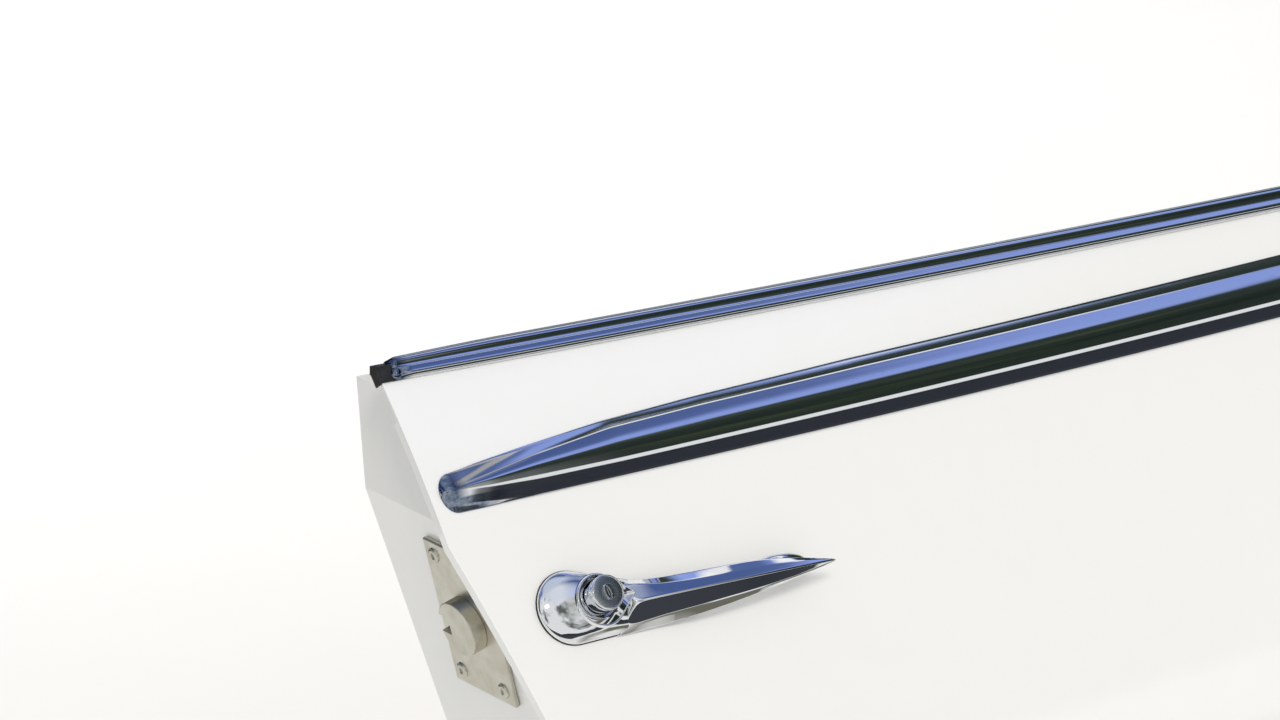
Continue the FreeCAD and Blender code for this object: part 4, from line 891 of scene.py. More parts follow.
def strip_profile(settings, along):
    """The strip's section at x, as points of the plane through the plan axis."""
    reach = (along - STRIP_BACK) / MM
    cut_top, low_rise, high_cut, share, rim = [
        between_stops(reach, [(row[0], row[column]) for row in STRIP_TAIL]) for column in range(1, 6)]
    into_end = min(1.0, max(0.0, (along - STRIP_BACK) / STRIP_END_RADIUS))
    end_share = math.sqrt(max(0.0, 1 - (1 - into_end) ** 2))
    pinch = STRIP_END_RADIUS * (1 - end_share)
    bottom, top = STRIP_LOW + pinch, STRIP_LOW + STRIP_TALL - cut_top - pinch
    low_ridge = max(bottom + 0.4 * MM, STRIP_LOW + LOWER_FLANGE + low_rise)
    high_ridge = min(top - 0.4 * MM, STRIP_LOW + STRIP_TALL - UPPER_FLANGE - high_cut)
    high_ridge = max(high_ridge, low_ridge + 0.3 * MM)
    foot = Vector((PLAN_AXIS.x, section_out(STRIP_LOW), STRIP_LOW))
    head = Vector((PLAN_AXIS.x, section_out(STRIP_LOW + STRIP_TALL), STRIP_LOW + STRIP_TALL))
    climb = (head - foot).normalized()
    away = Vector((0, -climb.z, climb.y))

    def spot(height, off):
        """A point at a height, off the panel's chord behind the strip."""
        return Vector((PLAN_AXIS.x, section_out(height), height)) + away * off
    ridge = settings.strip_ridge * share * end_share
    rim *= end_share
    wide = min(1.0, (high_ridge - low_ridge) / WIDE_BAND)
    lower_line, upper_line = LOWER_LINE * wide, UPPER_LINE * (0.85 + 0.15 * wide)
    low_drop, high_drop = lower_line * LOWER_STEEP, upper_line * UPPER_STEEP
    edge = STRIP_EDGE * max(0.35, end_share)
    dip = STRIP_DIP * share
    points = [spot(bottom, -STRIP_SEAT), spot(bottom, edge * 0.6), spot(bottom + 0.3 * MM, edge)]
    flange = low_ridge - bottom - rim
    for part in (0.06, 0.25, 0.5, 0.75, 0.93):
        points.append(spot(bottom + rim + flange * part, edge + (ridge - low_drop - edge) * part))
    for part in (0.0, 0.12, 0.88, 1.0):
        points.append(spot(low_ridge + lower_line * part, ridge - low_drop * (1 - part)))
    band = high_ridge - low_ridge - lower_line
    crown = (settings.strip_crown - settings.strip_ridge) * max(0.0, band / FULL_BAND) * end_share
    for part in (0.02, *(step / 14 for step in range(1, 14)), 0.98):
        points.append(spot(low_ridge + lower_line + band * part, ridge + crown * math.sin(math.pi * part)))
    for part in (0.0, 0.15, 0.85, 1.0):
        points.append(spot(high_ridge + upper_line * part, ridge - high_drop * part))
    start = high_ridge + upper_line
    for part in (0.07, 0.25, 0.5, 0.75):
        points.append(spot(start + (top - start) * part, ridge - high_drop + (edge - ridge + high_drop) * part
                           - dip * math.sin(math.pi * part)))
    points += [spot(top - 0.2 * MM, edge), spot(top, edge * 0.6), spot(top, -STRIP_SEAT)]
    return points


def strip_stations():
    """Places along the strip: close together at its rounded end and its taper, wide apart beyond."""
    taper = STRIP_TAIL[-1][0] * MM
    near = [STRIP_BACK + STRIP_END_RADIUS * (1 - math.cos(math.radians(90 * step / 10))) for step in range(11)]
    tail = [near[-1] + (taper - STRIP_END_RADIUS) * step / 60 for step in range(1, 61)]
    rest = [tail[-1] + (STRIP_FRONT - tail[-1]) * step / 70 for step in range(1, 71)]
    return near + tail + rest


def build_strip(settings):
    """The rub strip: a crowned band between two ridges that meet near its rounded rear end."""
    reach = PLAN_AXIS.y - section_out(STRIP_LOW + STRIP_TALL / 2)
    sections = []
    for along in strip_stations():
        turn = Matrix.Rotation(math.asin((along - PLAN_AXIS.x) / reach), 3, "Z")
        profile = strip_profile(settings, max(along, STRIP_BACK + 0.02 * MM))
        sections.append([turn @ (spot - PLAN_AXIS) + PLAN_AXIS for spot in profile])
    bm = bmesh.new()
    drawn_through(bm, sections)
    finish_piece("side_rub_strip", bm, "strip", replaced=["rub_strip"])


# Outside handle

HANDLE_ALONG, HANDLE_HEIGHT, HANDLE_SLOPE = -0.979, 0.1995, math.radians(1.5)
HANDLE_FRAME = panel_frame(HANDLE_ALONG, HANDLE_HEIGHT, HANDLE_SLOPE)
GASKET = 0.8 * MM
DISH_RADIUS, DISH_STEPS = 19 * MM, 120
DISH_CENTRE, NOSE_CENTRE, NOSE_RADIUS = (-13.5 * MM, -1.5 * MM), (50 * MM, -10.5 * MM), 7.5 * MM
FADE_FROM, FADE_LENGTH, FADE_SHARE = 24 * MM, 30 * MM, 0.7
COLLAR_LOW, COLLAR_RADIUS, COLLAR_POINT = 1.8 * MM, 13.5 * MM, 19 * MM
COLLAR_CLIMB, CLIMB_FROM, CLIMB_LENGTH = 2.9 * MM, 7 * MM, 12 * MM
BUTTON_RADIUS, BUTTON_TOP, LOCK_RADIUS = 9.15 * MM, 17.8 * MM, 8.1 * MM
WELL_RADIUS = BUTTON_RADIUS + 1.1 * MM
KEY_OVAL, KEY_TILT = Matrix.Diagonal((0.46, 1, 1, 1)), Matrix.Rotation(math.radians(8), 4, "Z")
BLADE_LOW, BLADE_BEVEL, BLADE_CREASE = 6.8 * MM, 0.45 * MM, 0.85
FOOT_REACH, FOOT_LOW, FOOT_RADIUS = 108 * MM, 2.8 * MM, 6 * MM

BLADE = (
    # millimetres along, ridge out, then how far from the blade's line and out: shoulder, top, edge and back
    (24, 12.5, 8.6, 10, 12.7, 5.3, 9.8, 6.7, 13.3, 1),
    (34, 13.7, 6.4, 11.4, 11, 7.2, 9, 8.4, 13, 1.5),
    (50, 14.9, 5, 12.8, 10.3, 8.5, 8.5, 10.3, 12.3, 6),
    (70, 15.9, 4.3, 14, 9.7, 10.3, 7.2, 12.3, 10.6, 9.2),
    (90, 16.6, 3.8, 15.3, 9.4, 12.1, 6.2, 13.8, 8.2, 10.6),
    (112, 16.9, 3.4, 15.8, 6.4, 13.6, 4.1, 14.8, 5, 12.3),
    (126, 16.4, 2.2, 15.6, 3, 14.3, 2, 14.9, 2.6, 13.4),
    (136.5, 15.6, 0.4, 15.4, 0.5, 15, 0.4, 15.1, 0.5, 14.8),
)
BLADE_ROOT = ((12, 0, 2), (12, 6, 2), (10, 11, 1.5), (9, -12, 0.8), (9, -9, 2))
BLADE_START = ((17.8, 0, 11.6), (12.5, 11.2, 6.9), (9.6, 14.4, 2.6), (7, -14, 0.5), (8.5, -11, 3.6))

# the mound's share of the way to the collar, and millimetres off the panel
MOUND = ((0.10, 3.6), (0.24, 4.7), (0.40, 5.6), (0.58, 6.3), (0.78, 6.9), (1.0, 7.4))
# the share of the way from the collar's outline in to the well, then millimetres grown and off the panel
COLLAR_RINGS = ((0, 1.0, 5.0), (0, 0.6, 7.4), (0, 0.15, 8.7), (0, -0.1, 9.1), (0, -0.45, 9.25), (0, -0.8, 9.1),
                (0.5, -0.4, 8.0), (1, 0.25, 6.9), (1, 0, 6.6), (1, 0, 2.4), (1, -2.0, 2.2))
# the key hole's rim and well: millimetres from its middle and below the face
KEY_RINGS = ((3.8, 0.2), (3.7, 0.02), (3.45, 0.0), (3.3, 0.15), (3.25, 1.3))


def blade_spots(places):
    """Points of the handle's frame from millimetres along, off the blade's line and out."""
    return [Vector(place) * MM - Vector((0, BLADE_LOW, 0)) for place in places]


def blade_ring(along, ridge, shoulder, shoulder_out, top, top_out, edge, edge_out, back, back_out):
    """The blade's section: a ridge, two faces that fall from it, a bevel above and below, and a flat back."""
    return blade_spots(((along, 0, ridge), (along, shoulder, shoulder_out), (along, top, top_out),
                        (along, -back, back_out), (along, -edge, edge_out)))


def build_blade():
    """The tapering blade, drawn from section to section and smoothed along its length only."""
    bm = bmesh.new()
    drawn_through(bm, [blade_spots(BLADE_ROOT), blade_spots(BLADE_START), *(blade_ring(*row) for row in BLADE)])

    def lengthwise():
        """The edges that run along the blade."""
        return [edge for edge in bm.edges if abs((edge.verts[0].co - edge.verts[1].co).x) > 3 * MM]
    bmesh.ops.bevel(bm, geom=lengthwise(), offset=BLADE_BEVEL, offset_type="OFFSET", segments=1, profile=0.5,
                    affect="EDGES", material=-1)
    crease = bm.edges.layers.float.new("crease_edge")
    for edge in lengthwise():
        edge[crease] = BLADE_CREASE
    bmesh.ops.transform(bm, matrix=HANDLE_FRAME, verts=bm.verts[:])
    piece = finish_piece("handle_blade", bm, "chrome", replaced=["handle_body"], weighted=False)
    smooth = piece.modifiers.new("Smooth", "SUBSURF")
    smooth.levels = smooth.render_levels = 3


def dish_rim(share, grow):
    """A point on the dish's teardrop outline, from 0 to 1 round it."""
    start, end = Vector(DISH_CENTRE), Vector(NOSE_CENTRE)
    radius, nose = DISH_RADIUS + grow, NOSE_RADIUS + grow
    run = end - start
    heading = math.atan2(run.y, run.x)
    spread = math.acos((radius - nose) / run.length)
    side = math.sqrt(run.length ** 2 - (radius - nose) ** 2)
    lengths = (radius * (math.tau - 2 * spread), side, nose * 2 * spread, side)
    walk = share * sum(lengths)
    if walk < lengths[0]:
        angle = heading + spread + walk / radius
        return start + Vector((math.cos(angle), math.sin(angle))) * radius
    walk -= lengths[0]
    tangent = [Vector((math.cos(angle), math.sin(angle))) for angle in (heading - spread, heading + spread)]
    if walk < lengths[1]:
        return (start + tangent[0] * radius).lerp(end + tangent[0] * nose, walk / side)
    walk -= lengths[1]
    if walk < lengths[2]:
        angle = heading - spread + walk / nose
        return end + Vector((math.cos(angle), math.sin(angle))) * nose
    walk -= lengths[2]
    return (end + tangent[1] * nose).lerp(start + tangent[1] * radius, walk / side)


def on_panel(across, along_skin, off):
    """A place given in the handle's frame, with its height measured off the curved panel."""
    flat = HANDLE_FRAME @ Vector((across, along_skin, 0))
    base = skin_point(flat.x, flat.z)
    return base + skin_normal(base.x, base.z) * off


def collar_reach(angle):
    """The collar's radius at an angle: a circle with a point drawn out along the blade."""
    spread = math.acos(COLLAR_RADIUS / COLLAR_POINT)
    turn = abs((angle + math.pi) % math.tau - math.pi)
    return COLLAR_RADIUS / math.cos(spread - turn) if turn < spread else COLLAR_RADIUS


def collar_spot(angle, grow):
    """A place on the collar's outline in the handle's frame."""
    reach = collar_reach(angle) + grow
    return Vector((math.cos(angle) * reach, math.sin(angle) * reach - COLLAR_LOW))


def angles_round(count):
    """Angles in even steps round a circle."""
    return [math.tau * step / count for step in range(count)]


def ring_of_spots(bm, spots):
    """A closed wire through a ring of points, as its edges."""
    loop = [bm.verts.new(spot) for spot in spots]
    return [bm.edges.new(pair) for pair in zip(loop, loop[1:] + loop[:1])]


def bridged(name, loops, bm, finish, replaced):
    """Join rings of edges one to the next and make the piece."""
    for before, after in zip(loops, loops[1:]):
        bmesh.ops.bridge_loops(bm, edges=before + after)
    bmesh.ops.recalc_face_normals(bm, faces=bm.faces[:])
    finish_piece(name, bm, finish, replaced=replaced, weighted=False)


def escutcheon_loops(bm, rings):
    """Teardrop rings, each drawn in from the rim, then towards the collar, and lifted off the panel.

    Towards the teardrop's nose, under the blade, most of the lift over the gasket fades away.
    """
    loops = []
    for inset, draw, off in rings:
        spots = []
        for index in range(DISH_STEPS):
            rim = dish_rim(index / DISH_STEPS, -inset)
            way = rim - Vector((0, -COLLAR_LOW))
            spot = rim.lerp(collar_spot(math.atan2(way.y, way.x), 0.6 * MM), draw)
            lower = min(1.0, max(0.0, (spot.x - FADE_FROM) / FADE_LENGTH))
            spots.append(on_panel(spot.x, spot.y, off - (off - GASKET) * FADE_SHARE * lower))
        loops.append(ring_of_spots(bm, spots))
    return loops


def build_escutcheon():
    """The mound that the collar and the blade grow from, on a thin black seat."""
    bm = bmesh.new()
    seat = ((0.3 * MM, 0, 0), (-0.35 * MM, 0, 0), (-0.35 * MM, 0, GASKET * 0.8), (0.3 * MM, 0, GASKET))
    bridged("handle_seat", escutcheon_loops(bm, seat), bm, "rubber", ["handle_gasket"])
    rings = ((1.5 * MM, 0, GASKET * 0.9), (0.1 * MM, 0, GASKET * 0.9), (0, 0, GASKET + 0.4 * MM),
             (0.3 * MM, 0, 2.0 * MM), (0.9 * MM, 0, 2.8 * MM),
             *((0.9 * MM, draw, off * MM) for draw, off in MOUND))
    bm = bmesh.new()
    bridged("handle_escutcheon", escutcheon_loops(bm, rings), bm, "chrome", ["handle_body"])


def build_collar():
    """The collar: a sloped outer wall, a crest that climbs to the blade's ridge, and a cone to the well."""
    bm = bmesh.new()
    loops = []
    for inward, grow, off in COLLAR_RINGS:
        spots = []
        for angle in angles_round(96):
            outer = collar_spot(angle, grow * MM)
            inner = Vector((math.cos(angle), math.sin(angle))) * (WELL_RADIUS + grow * MM)
            spot = outer.lerp(inner, inward)
            climb = min(1.0, max(0.0, (spot.x - CLIMB_FROM) / CLIMB_LENGTH)) * (1 - inward)
            spots.append(HANDLE_FRAME @ Vector((spot.x, spot.y, off * MM + COLLAR_CLIMB * climb)))
        loops.append(ring_of_spots(bm, spots))
    bridged("handle_collar", loops, bm, "chrome", ["handle_body"])


def build_foot():
    """The low foot under the blade's tip, with the post that carries the blade."""
    bm = bmesh.new()
    foot = Matrix.Translation((FOOT_REACH + 3 * MM, -FOOT_LOW, 0)) @ Matrix.Diagonal((2.5, 1.05, 1, 1))
    turned(bm, ((FOOT_RADIUS, 0.5 * MM), (FOOT_RADIUS * 1.15, 0.9 * MM), (FOOT_RADIUS * 1.17, 1.4 * MM),
                (FOOT_RADIUS * 1.05, 2.5 * MM), (FOOT_RADIUS * 0.8, 3.7 * MM), (FOOT_RADIUS * 0.5, 4.6 * MM),
                (FOOT_RADIUS * 0.36, 7.5 * MM), (FOOT_RADIUS * 0.34, 12.4 * MM), (0, 12.6 * MM)), 40)
    bmesh.ops.transform(bm, matrix=HANDLE_FRAME @ foot, verts=bm.verts[:])
    finish_piece("handle_foot", bm, "chrome", replaced=["handle_body"], weighted=False)


def build_lock_face(face, top):
    """The lock's satin face, with the raised rim and the well of its key hole."""
    bm = bmesh.new()
    turned(bm, ((face - 0.05 * MM, top - 1.4 * MM), (face - 0.05 * MM, top - 0.45 * MM),
                (face - 0.35 * MM, top - 0.2 * MM), (4.4 * MM, top - 0.2 * MM),
                (4.3 * MM, top - 0.25 * MM)), 64)
    loops = [[edge for edge in bm.edges
              if edge.is_boundary and all(vert.co.z > top - 0.3 * MM for vert in edge.verts)]]
    for reach, off in KEY_RINGS:
        spots = [Vector((math.cos(angle) * reach * MM, math.sin(angle) * reach * MM, top - off * MM))
                 for angle in angles_round(64)]
        loops.append(ring_of_spots(bm, [KEY_TILT @ KEY_OVAL @ spot for spot in spots]))
    for before, after in zip(loops, loops[1:]):
        bmesh.ops.bridge_loops(bm, edges=before + after)
    bmesh.ops.contextual_create(bm, geom=loops[-1])
    bmesh.ops.recalc_face_normals(bm, faces=bm.faces[:])
    bmesh.ops.transform(bm, matrix=HANDLE_FRAME, verts=bm.verts[:])
    finish_piece("lock_face_plate", bm, "lock", replaced=["lock_barrel"])


def build_button():
    """The push button: a bright barrel round the lock's face, a black disc as painted shade in its key hole,
    and its shutter.
    """
    radius, face, top = BUTTON_RADIUS, LOCK_RADIUS, BUTTON_TOP
    bm = bmesh.new()
    turned(bm, ((radius - 0.6 * MM, 1.5 * MM), (radius, 2.0 * MM), (radius, top - 1.0 * MM),
                (radius - 0.12 * MM, top - 0.45 * MM), (radius - 0.45 * MM, top - 0.12 * MM),
                (radius - 0.8 * MM, top), (face, top - 0.1 * MM), (face - 0.1 * MM, top - 0.6 * MM)),
           72, HANDLE_FRAME)
    finish_piece("push_button_shell", bm, "chrome", replaced=["push_button"])
    build_lock_face(face, top)
    # painted shade: a black disc sunk in the key hole stands for the shade deep inside the lock
    bm = bmesh.new()
    turned(bm, ((3.2 * MM, -0.5 * MM), (3.2 * MM, -0.1 * MM), (3.0 * MM, 0), (0, 0)), 40)
    key_shade_place = HANDLE_FRAME @ Matrix.Translation((0, 0, top - 0.75 * MM)) @ KEY_TILT @ KEY_OVAL
    bmesh.ops.transform(bm, matrix=key_shade_place, verts=bm.verts[:])
    finish_piece("key_guard", bm, "rubber", weighted=False)
    bm = bmesh.new()
    shutter = HANDLE_FRAME @ Matrix.Translation((0.35 * MM, 0, top - 0.7 * MM)) @ KEY_TILT
    bmesh.ops.create_cube(bm, size=1.0, matrix=shutter @ Matrix.Diagonal((0.6 * MM, 4.2 * MM, 0.4 * MM, 1)))
    finish_piece("key_shutter", bm, "pin", slot="chrome", edge=0.18 * MM)


def build_handle(settings):
    """The outside handle: escutcheon, collar, blade, foot, push button and lock."""
    build_escutcheon()
    build_collar()
    build_blade()
    build_foot()
    build_button()


# Inside trim

FRAME_FRONT, FRAME_REAR = -0.071, -1.026
ROLL_RISE, ROLL_SKIRT, ROLL_OVERHANG, LEDGE_WIDTH = 9 * MM, 26 * MM, 9 * MM, 18 * MM
PIPING_RADIUS = 2.6 * MM
ARMREST_DOWN, ARMREST_REAR, ARMREST_FRONT = 0.150, -0.728, -0.442
PULL_ALONG, PULL_DOWN, PULL_SCREWS, PULL_BASE = -0.585, 0.092, 0.0875, 9.2 * MM
MOULDING_DOWN, CARD_ROW_REAR, CARD_ROW_FRONT = 0.232, -0.950, -0.115
FLOOR_SETBACK, CARD_MARGIN, KICK_RISE, KICK_HEIGHT, KICK_THICKNESS = 0.012, 0.012, 0.008, 0.042, 2.5 * MM
WINDER_PLACE, RELEASE_PLACE = (-0.330, 0.175), (-0.800, 0.095)
INBOARD_TURN = Matrix.Rotation(math.radians(-90), 4, "X")
CLOTH_FRAMES = 20
STITCH_PROUD = 0.15 * MM


def bake_modifiers(piece):
    """Apply all of a piece's modifiers to its mesh."""
    evaluated = piece.evaluated_get(bpy.context.evaluated_depsgraph_get())
    mesh = bpy.data.meshes.new_from_object(evaluated)
    piece.modifiers.clear()
    piece.data = mesh


def inflate(piece, held, cap, pressure=4.0, voxel=4 * MM):
    """Blow a cushion up as cloth: points that are held stay, and no other moves further than the cap."""
    remesh = piece.modifiers.new("Remesh", "REMESH")
    remesh.mode = "VOXEL"
    remesh.voxel_size = voxel
    bake_modifiers(piece)
    group = piece.vertex_groups.new(name="held")
    group.add([vert.index for vert in piece.data.vertices if held(vert.co)], 1.0, "REPLACE")
    before = [vert.co.copy() for vert in piece.data.vertices]
    cloth = piece.modifiers.new("Cloth", "CLOTH").settings
    cloth.use_pressure = True
    cloth.uniform_pressure_force = pressure
    cloth.vertex_group_mass = "held"
    cloth.effector_weights.gravity = 0
    for number in range(1, CLOTH_FRAMES + 1):
        bpy.context.scene.frame_set(number)
    bake_modifiers(piece)
    bpy.context.scene.frame_set(1)
    for vert, start in zip(piece.data.vertices, before):
        move = vert.co - start
        if move.length > cap:
            vert.co = start + move * (cap / move.length)
    for face in piece.data.polygons:
        face.use_smooth = True
    smooth = piece.modifiers.new("Smooth", "SUBSURF")
    smooth.levels = smooth.render_levels = 1


def laid_on(piece, spots):
    """Points moved to the nearest place of a piece's surface, proud of it as a stitch is."""
    surface = piece.evaluated_get(bpy.context.evaluated_depsgraph_get())
    placed = []
    for spot in spots:
        found, place, normal, _ = surface.closest_point_on_mesh(spot)
        if not found:
            raise RuntimeError("no surface for the stitching on " + piece.name)
        placed.append(place + normal * STITCH_PROUD)
    return placed


def stitches(name, spots, pitch):
    """A row of stitches along a line of points, each a short rounded length of thread."""
    bm = bmesh.new()
    travelled = 0.0
    for before, after in zip(spots, spots[1:]):
        run = after - before
        while travelled < run.length:
            middle = before + run * (travelled / run.length)
            turn = run.to_track_quat("X", "Z").to_matrix().to_4x4()
            place = Matrix.Translation(middle) @ turn @ Matrix.Diagonal((pitch * 0.36, 0.6 * MM, 0.6 * MM, 1))
            bmesh.ops.create_icosphere(bm, subdivisions=1, radius=1.0, matrix=place)
            travelled += pitch
        travelled -= run.length
    finish_piece(name, bm, "thread", weighted=False)


def belt_line(spot, rear, front, count=60):
    """Points of a line that follows the belt at one (inboard, up)."""
    return [belt_turn(rear + (front - rear) * step / count) @ belt_spot(*spot) for step in range(count + 1)]


def build_roll(pitch):
    """The padded roll over the frame's ledge, with its stitching and the piping under its skirt."""
    ledge = WALL_TOP[0] - LEDGE_WIDTH
    spots = [(ledge, WALL_TOP[1]), (ledge + 0.4 * MM, WALL_TOP[1] + 6 * MM),
             (ledge + LEDGE_WIDTH * 0.6, WALL_TOP[1] + ROLL_RISE - 0.6 * MM),
             on_wall(ROLL_RISE / 2, ROLL_OVERHANG - 1 * MM), on_wall(ROLL_SKIRT, ROLL_OVERHANG * 0.8),
             on_wall(ROLL_SKIRT, 0), WALL_TOP]
    bm = along_belt(spots, FRAME_REAR + 1 * MM, FRAME_FRONT - 1 * MM, 150,
                    ((1, 3 * MM), (2, 6 * MM), (3, 7 * MM), (4, 2.5 * MM)))
    roll = finish_piece("padded_top_roll", bm, "leather", replaced=["top_roll"], weighted=False)
    inflate(roll, lambda spot: max(off_wall(spot)) < 1.2 * MM, 1.2 * MM)
    seam = belt_line(on_wall(ROLL_SKIRT - 6 * MM, ROLL_OVERHANG), FRAME_REAR + 8 * MM, FRAME_FRONT - 8 * MM,
                     110)
    stitches("roll_stitching", laid_on(roll, seam), pitch)
    inboard, up = on_wall(ROLL_SKIRT + 0.6 * MM, CARD_THICKNESS + 1.6 * MM)
    cord = [(inboard + PIPING_RADIUS * math.cos(angle), up + PIPING_RADIUS * math.sin(angle))
            for angle in angles_round(12)]
    bm = along_belt(cord, FRAME_REAR + 12 * MM, FRAME_FRONT - 14 * MM, 140)
    finish_piece("roll_piping", bm, "leather", weighted=False)


def at_card(spot):
    """Whether a point lies on the trim card or close to it."""
    return off_wall(spot)[1] < CARD_THICKNESS + 1.5 * MM


def build_armrest(pitch):
    """The padded armrest with two rows of stitching."""
    rest = finish_piece("padded_armrest", copy_of("armrest"), "leather", replaced=["armrest"], weighted=False)
    inflate(rest, at_card, 2.5 * MM)
    for down, off, name in ((-1 * MM, 33 * MM, "armrest_stitching_upper"),
                            (40 * MM, 36 * MM, "armrest_stitching_lower")):
        line = belt_line(on_wall(ARMREST_DOWN + down, CARD_THICKNESS + off), ARMREST_REAR, ARMREST_FRONT)
        stitches(name, laid_on(rest, line), pitch)


def build_pull():
    """The stuffed door pull with a domed screw at either end."""
    pull = finish_piece("grab_pull", copy_of("door_pull"), "leather", replaced=["door_pull"], edge=3.2 * MM,
                        segments=5, angle=15, weighted=False)
    inflate(pull, at_card, 1.2 * MM, pressure=3.0, voxel=2.5 * MM)
    middle = wall_frame(PULL_ALONG, PULL_DOWN, CARD_THICKNESS)
    for name, side in (("pull_screw_rear", -1), ("pull_screw_front", 1)):
        place = middle @ Matrix.Translation((side * PULL_SCREWS, PULL_BASE, 0))
        bm = bmesh.new()
        turned(bm, ((0, 1.6 * MM), (3.0 * MM, 1.3 * MM), (4.6 * MM, 0.2 * MM), (4.8 * MM, -0.8 * MM)), 24,
               place @ INBOARD_TURN)
        finish_piece(name, bm, "chrome", weighted=False)


def build_padding(settings):
    """Top roll, armrest and door pull in leather, with their stitching."""
    build_roll(settings.stitch_pitch)
    build_armrest(settings.stitch_pitch)
    build_pull()


def build_card(settings):
    """The trim card with a bright moulding between two rows of stitches, and the kick strip with its ribs."""
    finish_piece("door_card", copy_of("trim_card"), "trim", replaced=["trim_card"], edge=0.9 * MM)
    for name, level in (("card_stitching_upper", -9 * MM), ("card_stitching_lower", 9 * MM)):
        place = on_wall(MOULDING_DOWN + level, CARD_THICKNESS + 0.1 * MM)
        stitches(name, belt_line(place, CARD_ROW_REAR, CARD_ROW_FRONT), settings.stitch_pitch)
    spots = [on_wall(MOULDING_DOWN + level, CARD_THICKNESS + off)
             for level, off in ((-4 * MM, 0), (-3 * MM, 1.6 * MM), (3 * MM, 1.6 * MM), (4 * MM, 0))]
    bm = along_belt(spots, CARD_ROW_REAR - 5 * MM, CARD_ROW_FRONT + 3 * MM, 120, ((1, 1.2 * MM), (2, 1.2 * MM)))
    finish_piece("card_moulding", bm, "strip")
    finish_piece("kick_plate", copy_of("kick_strip"), "strip", replaced=["kick_strip"], edge=0.7 * MM)
    low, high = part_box("kick_strip")
    kick_top = WALL_RUN - FLOOR_SETBACK - CARD_MARGIN - KICK_RISE - KICK_HEIGHT
    foot, crest = CARD_THICKNESS + KICK_THICKNESS - 0.1 * MM, CARD_THICKNESS + KICK_THICKNESS + 0.9 * MM
    for index in range(5):
        level = kick_top + (8 + 6.5 * index) * MM
        rib = [on_wall(level - 1.3 * MM, foot), on_wall(level, crest), on_wall(level + 1.3 * MM, foot)]
        bm = along_belt(rib, low.x + 10 * MM, high.x - 10 * MM, 90, ((1, 0.6 * MM),))
        finish_piece("kick_rib_%d" % (index + 1), bm, "strip")


def build_controls(settings):
    """Window winder and inside release, their edges rounded as polished castings."""
    for node, name, finish, edge in (
            ("winder_plate", "winder_rose", "chrome", 2.2 * MM),
            ("window_winder", "winder_arm", "chrome", 2.0 * MM),
            ("winder_knob", "winder_grip", "plastic", 2.6 * MM),
            ("release_plate", "release_rose", "chrome", 1.6 * MM),
            ("release_lever", "release_handle", "chrome", 1.8 * MM)):
        finish_piece(name, copy_of(node), finish, replaced=[node], edge=edge, segments=4)
    for name, place, off in (("winder_screw", WINDER_PLACE, 20.2 * MM),
                             ("release_screw", RELEASE_PLACE, 18.2 * MM)):
        bm = bmesh.new()
        turned(bm, ((0, 1.5 * MM), (1.6 * MM, 1.35 * MM), (3.2 * MM, 0.6 * MM), (3.8 * MM, -0.2 * MM)), 24,
               wall_frame(*place, CARD_THICKNESS + off) @ INBOARD_TURN)
        finish_piece(name, bm, "pin", slot="chrome", weighted=False)


# Rear face and hinges

FRAME_INSET = 0.016
LATCH_INBOARD, LATCH_HEIGHT = 0.012, 0.178
WEDGE_INBOARD, WEDGE_HEIGHT = -0.008, 0.070
HINGE_HEIGHT, LEAF_FACE, LEAF_BOLTS_Y, LEAF_BOLTS_Z = 0.100, -0.066, -0.031, (0.020, -0.020)


def rear_frame(inboard, height):
    """A frame on the inner frame's rear face: its X inboard, Y up the face and Z rearward."""
    slant = math.atan2(FOOT_BACK - KINK_BACK, KINK_HEIGHT - SKIN_LOW)
    climb = Vector((-math.sin(slant), 0, math.cos(slant)))
    out = Vector((-math.cos(slant), 0, -math.sin(slant)))
    here = Matrix((Vector((0, 1, 0)), climb, out)).transposed().to_4x4()
    kink = Vector((KINK_BACK, inboard, KINK_HEIGHT))
    here.translation = kink + climb * (height - KINK_HEIGHT) / math.cos(slant) - out * FRAME_INSET
    return here


def screw_head(name, place, radius, height):
    """A raised countersunk head with a cross recess."""
    bm = bmesh.new()
    turned(bm, ((radius * 0.3, height * 0.55), (radius * 0.34, height), (radius * 0.8, height * 0.8),
                (radius, height * 0.25), (radius, -0.2 * MM)), 32, place)
    for turn in (0, 90):
        bmesh.ops.create_cube(bm, size=1.0, matrix=place @ Matrix.Translation((0, 0, height * 0.5))
                              @ Matrix.Rotation(math.radians(turn), 4, "Z")
                              @ Matrix.Diagonal((radius, radius * 0.22, height * 0.2, 1)))
    finish_piece(name, bm, "latch", weighted=False)


def build_latch(settings):
    """Latch case with its claw and screws, the dovetail and the buffer."""
    for node, name, edge in (
            ("latch_case", "latch_plate", 1.0 * MM),
            ("latch_claw", "latch_claw_plate", 0.8 * MM),
            ("dovetail_wedge", "dovetail_block", 1.4 * MM)):
        finish_piece(name, copy_of(node), "latch", replaced=[node], edge=edge)
    finish_piece("rear_buffer", copy_of("buffer_lower"), "rubber", replaced=["buffer_lower"], edge=2.2 * MM,
                 segments=4)
    case = rear_frame(LATCH_INBOARD, LATCH_HEIGHT)
    for index, (across, climb) in enumerate(((-18, 34), (18, 34), (-18, -34), (18, -34))):
        place = case @ Matrix.Translation((across * MM, climb * MM, 3 * MM))
        screw_head("latch_screw_%d" % (index + 1), place, 4.2 * MM, 1.4 * MM)
    wedge = rear_frame(WEDGE_INBOARD, WEDGE_HEIGHT)
    for index, climb in enumerate((-13, 13)):
        place = wedge @ Matrix.Translation((0, climb * MM, 11 * MM))
        screw_head("dovetail_screw_%d" % (index + 1), place, 3.8 * MM, 1.2 * MM)


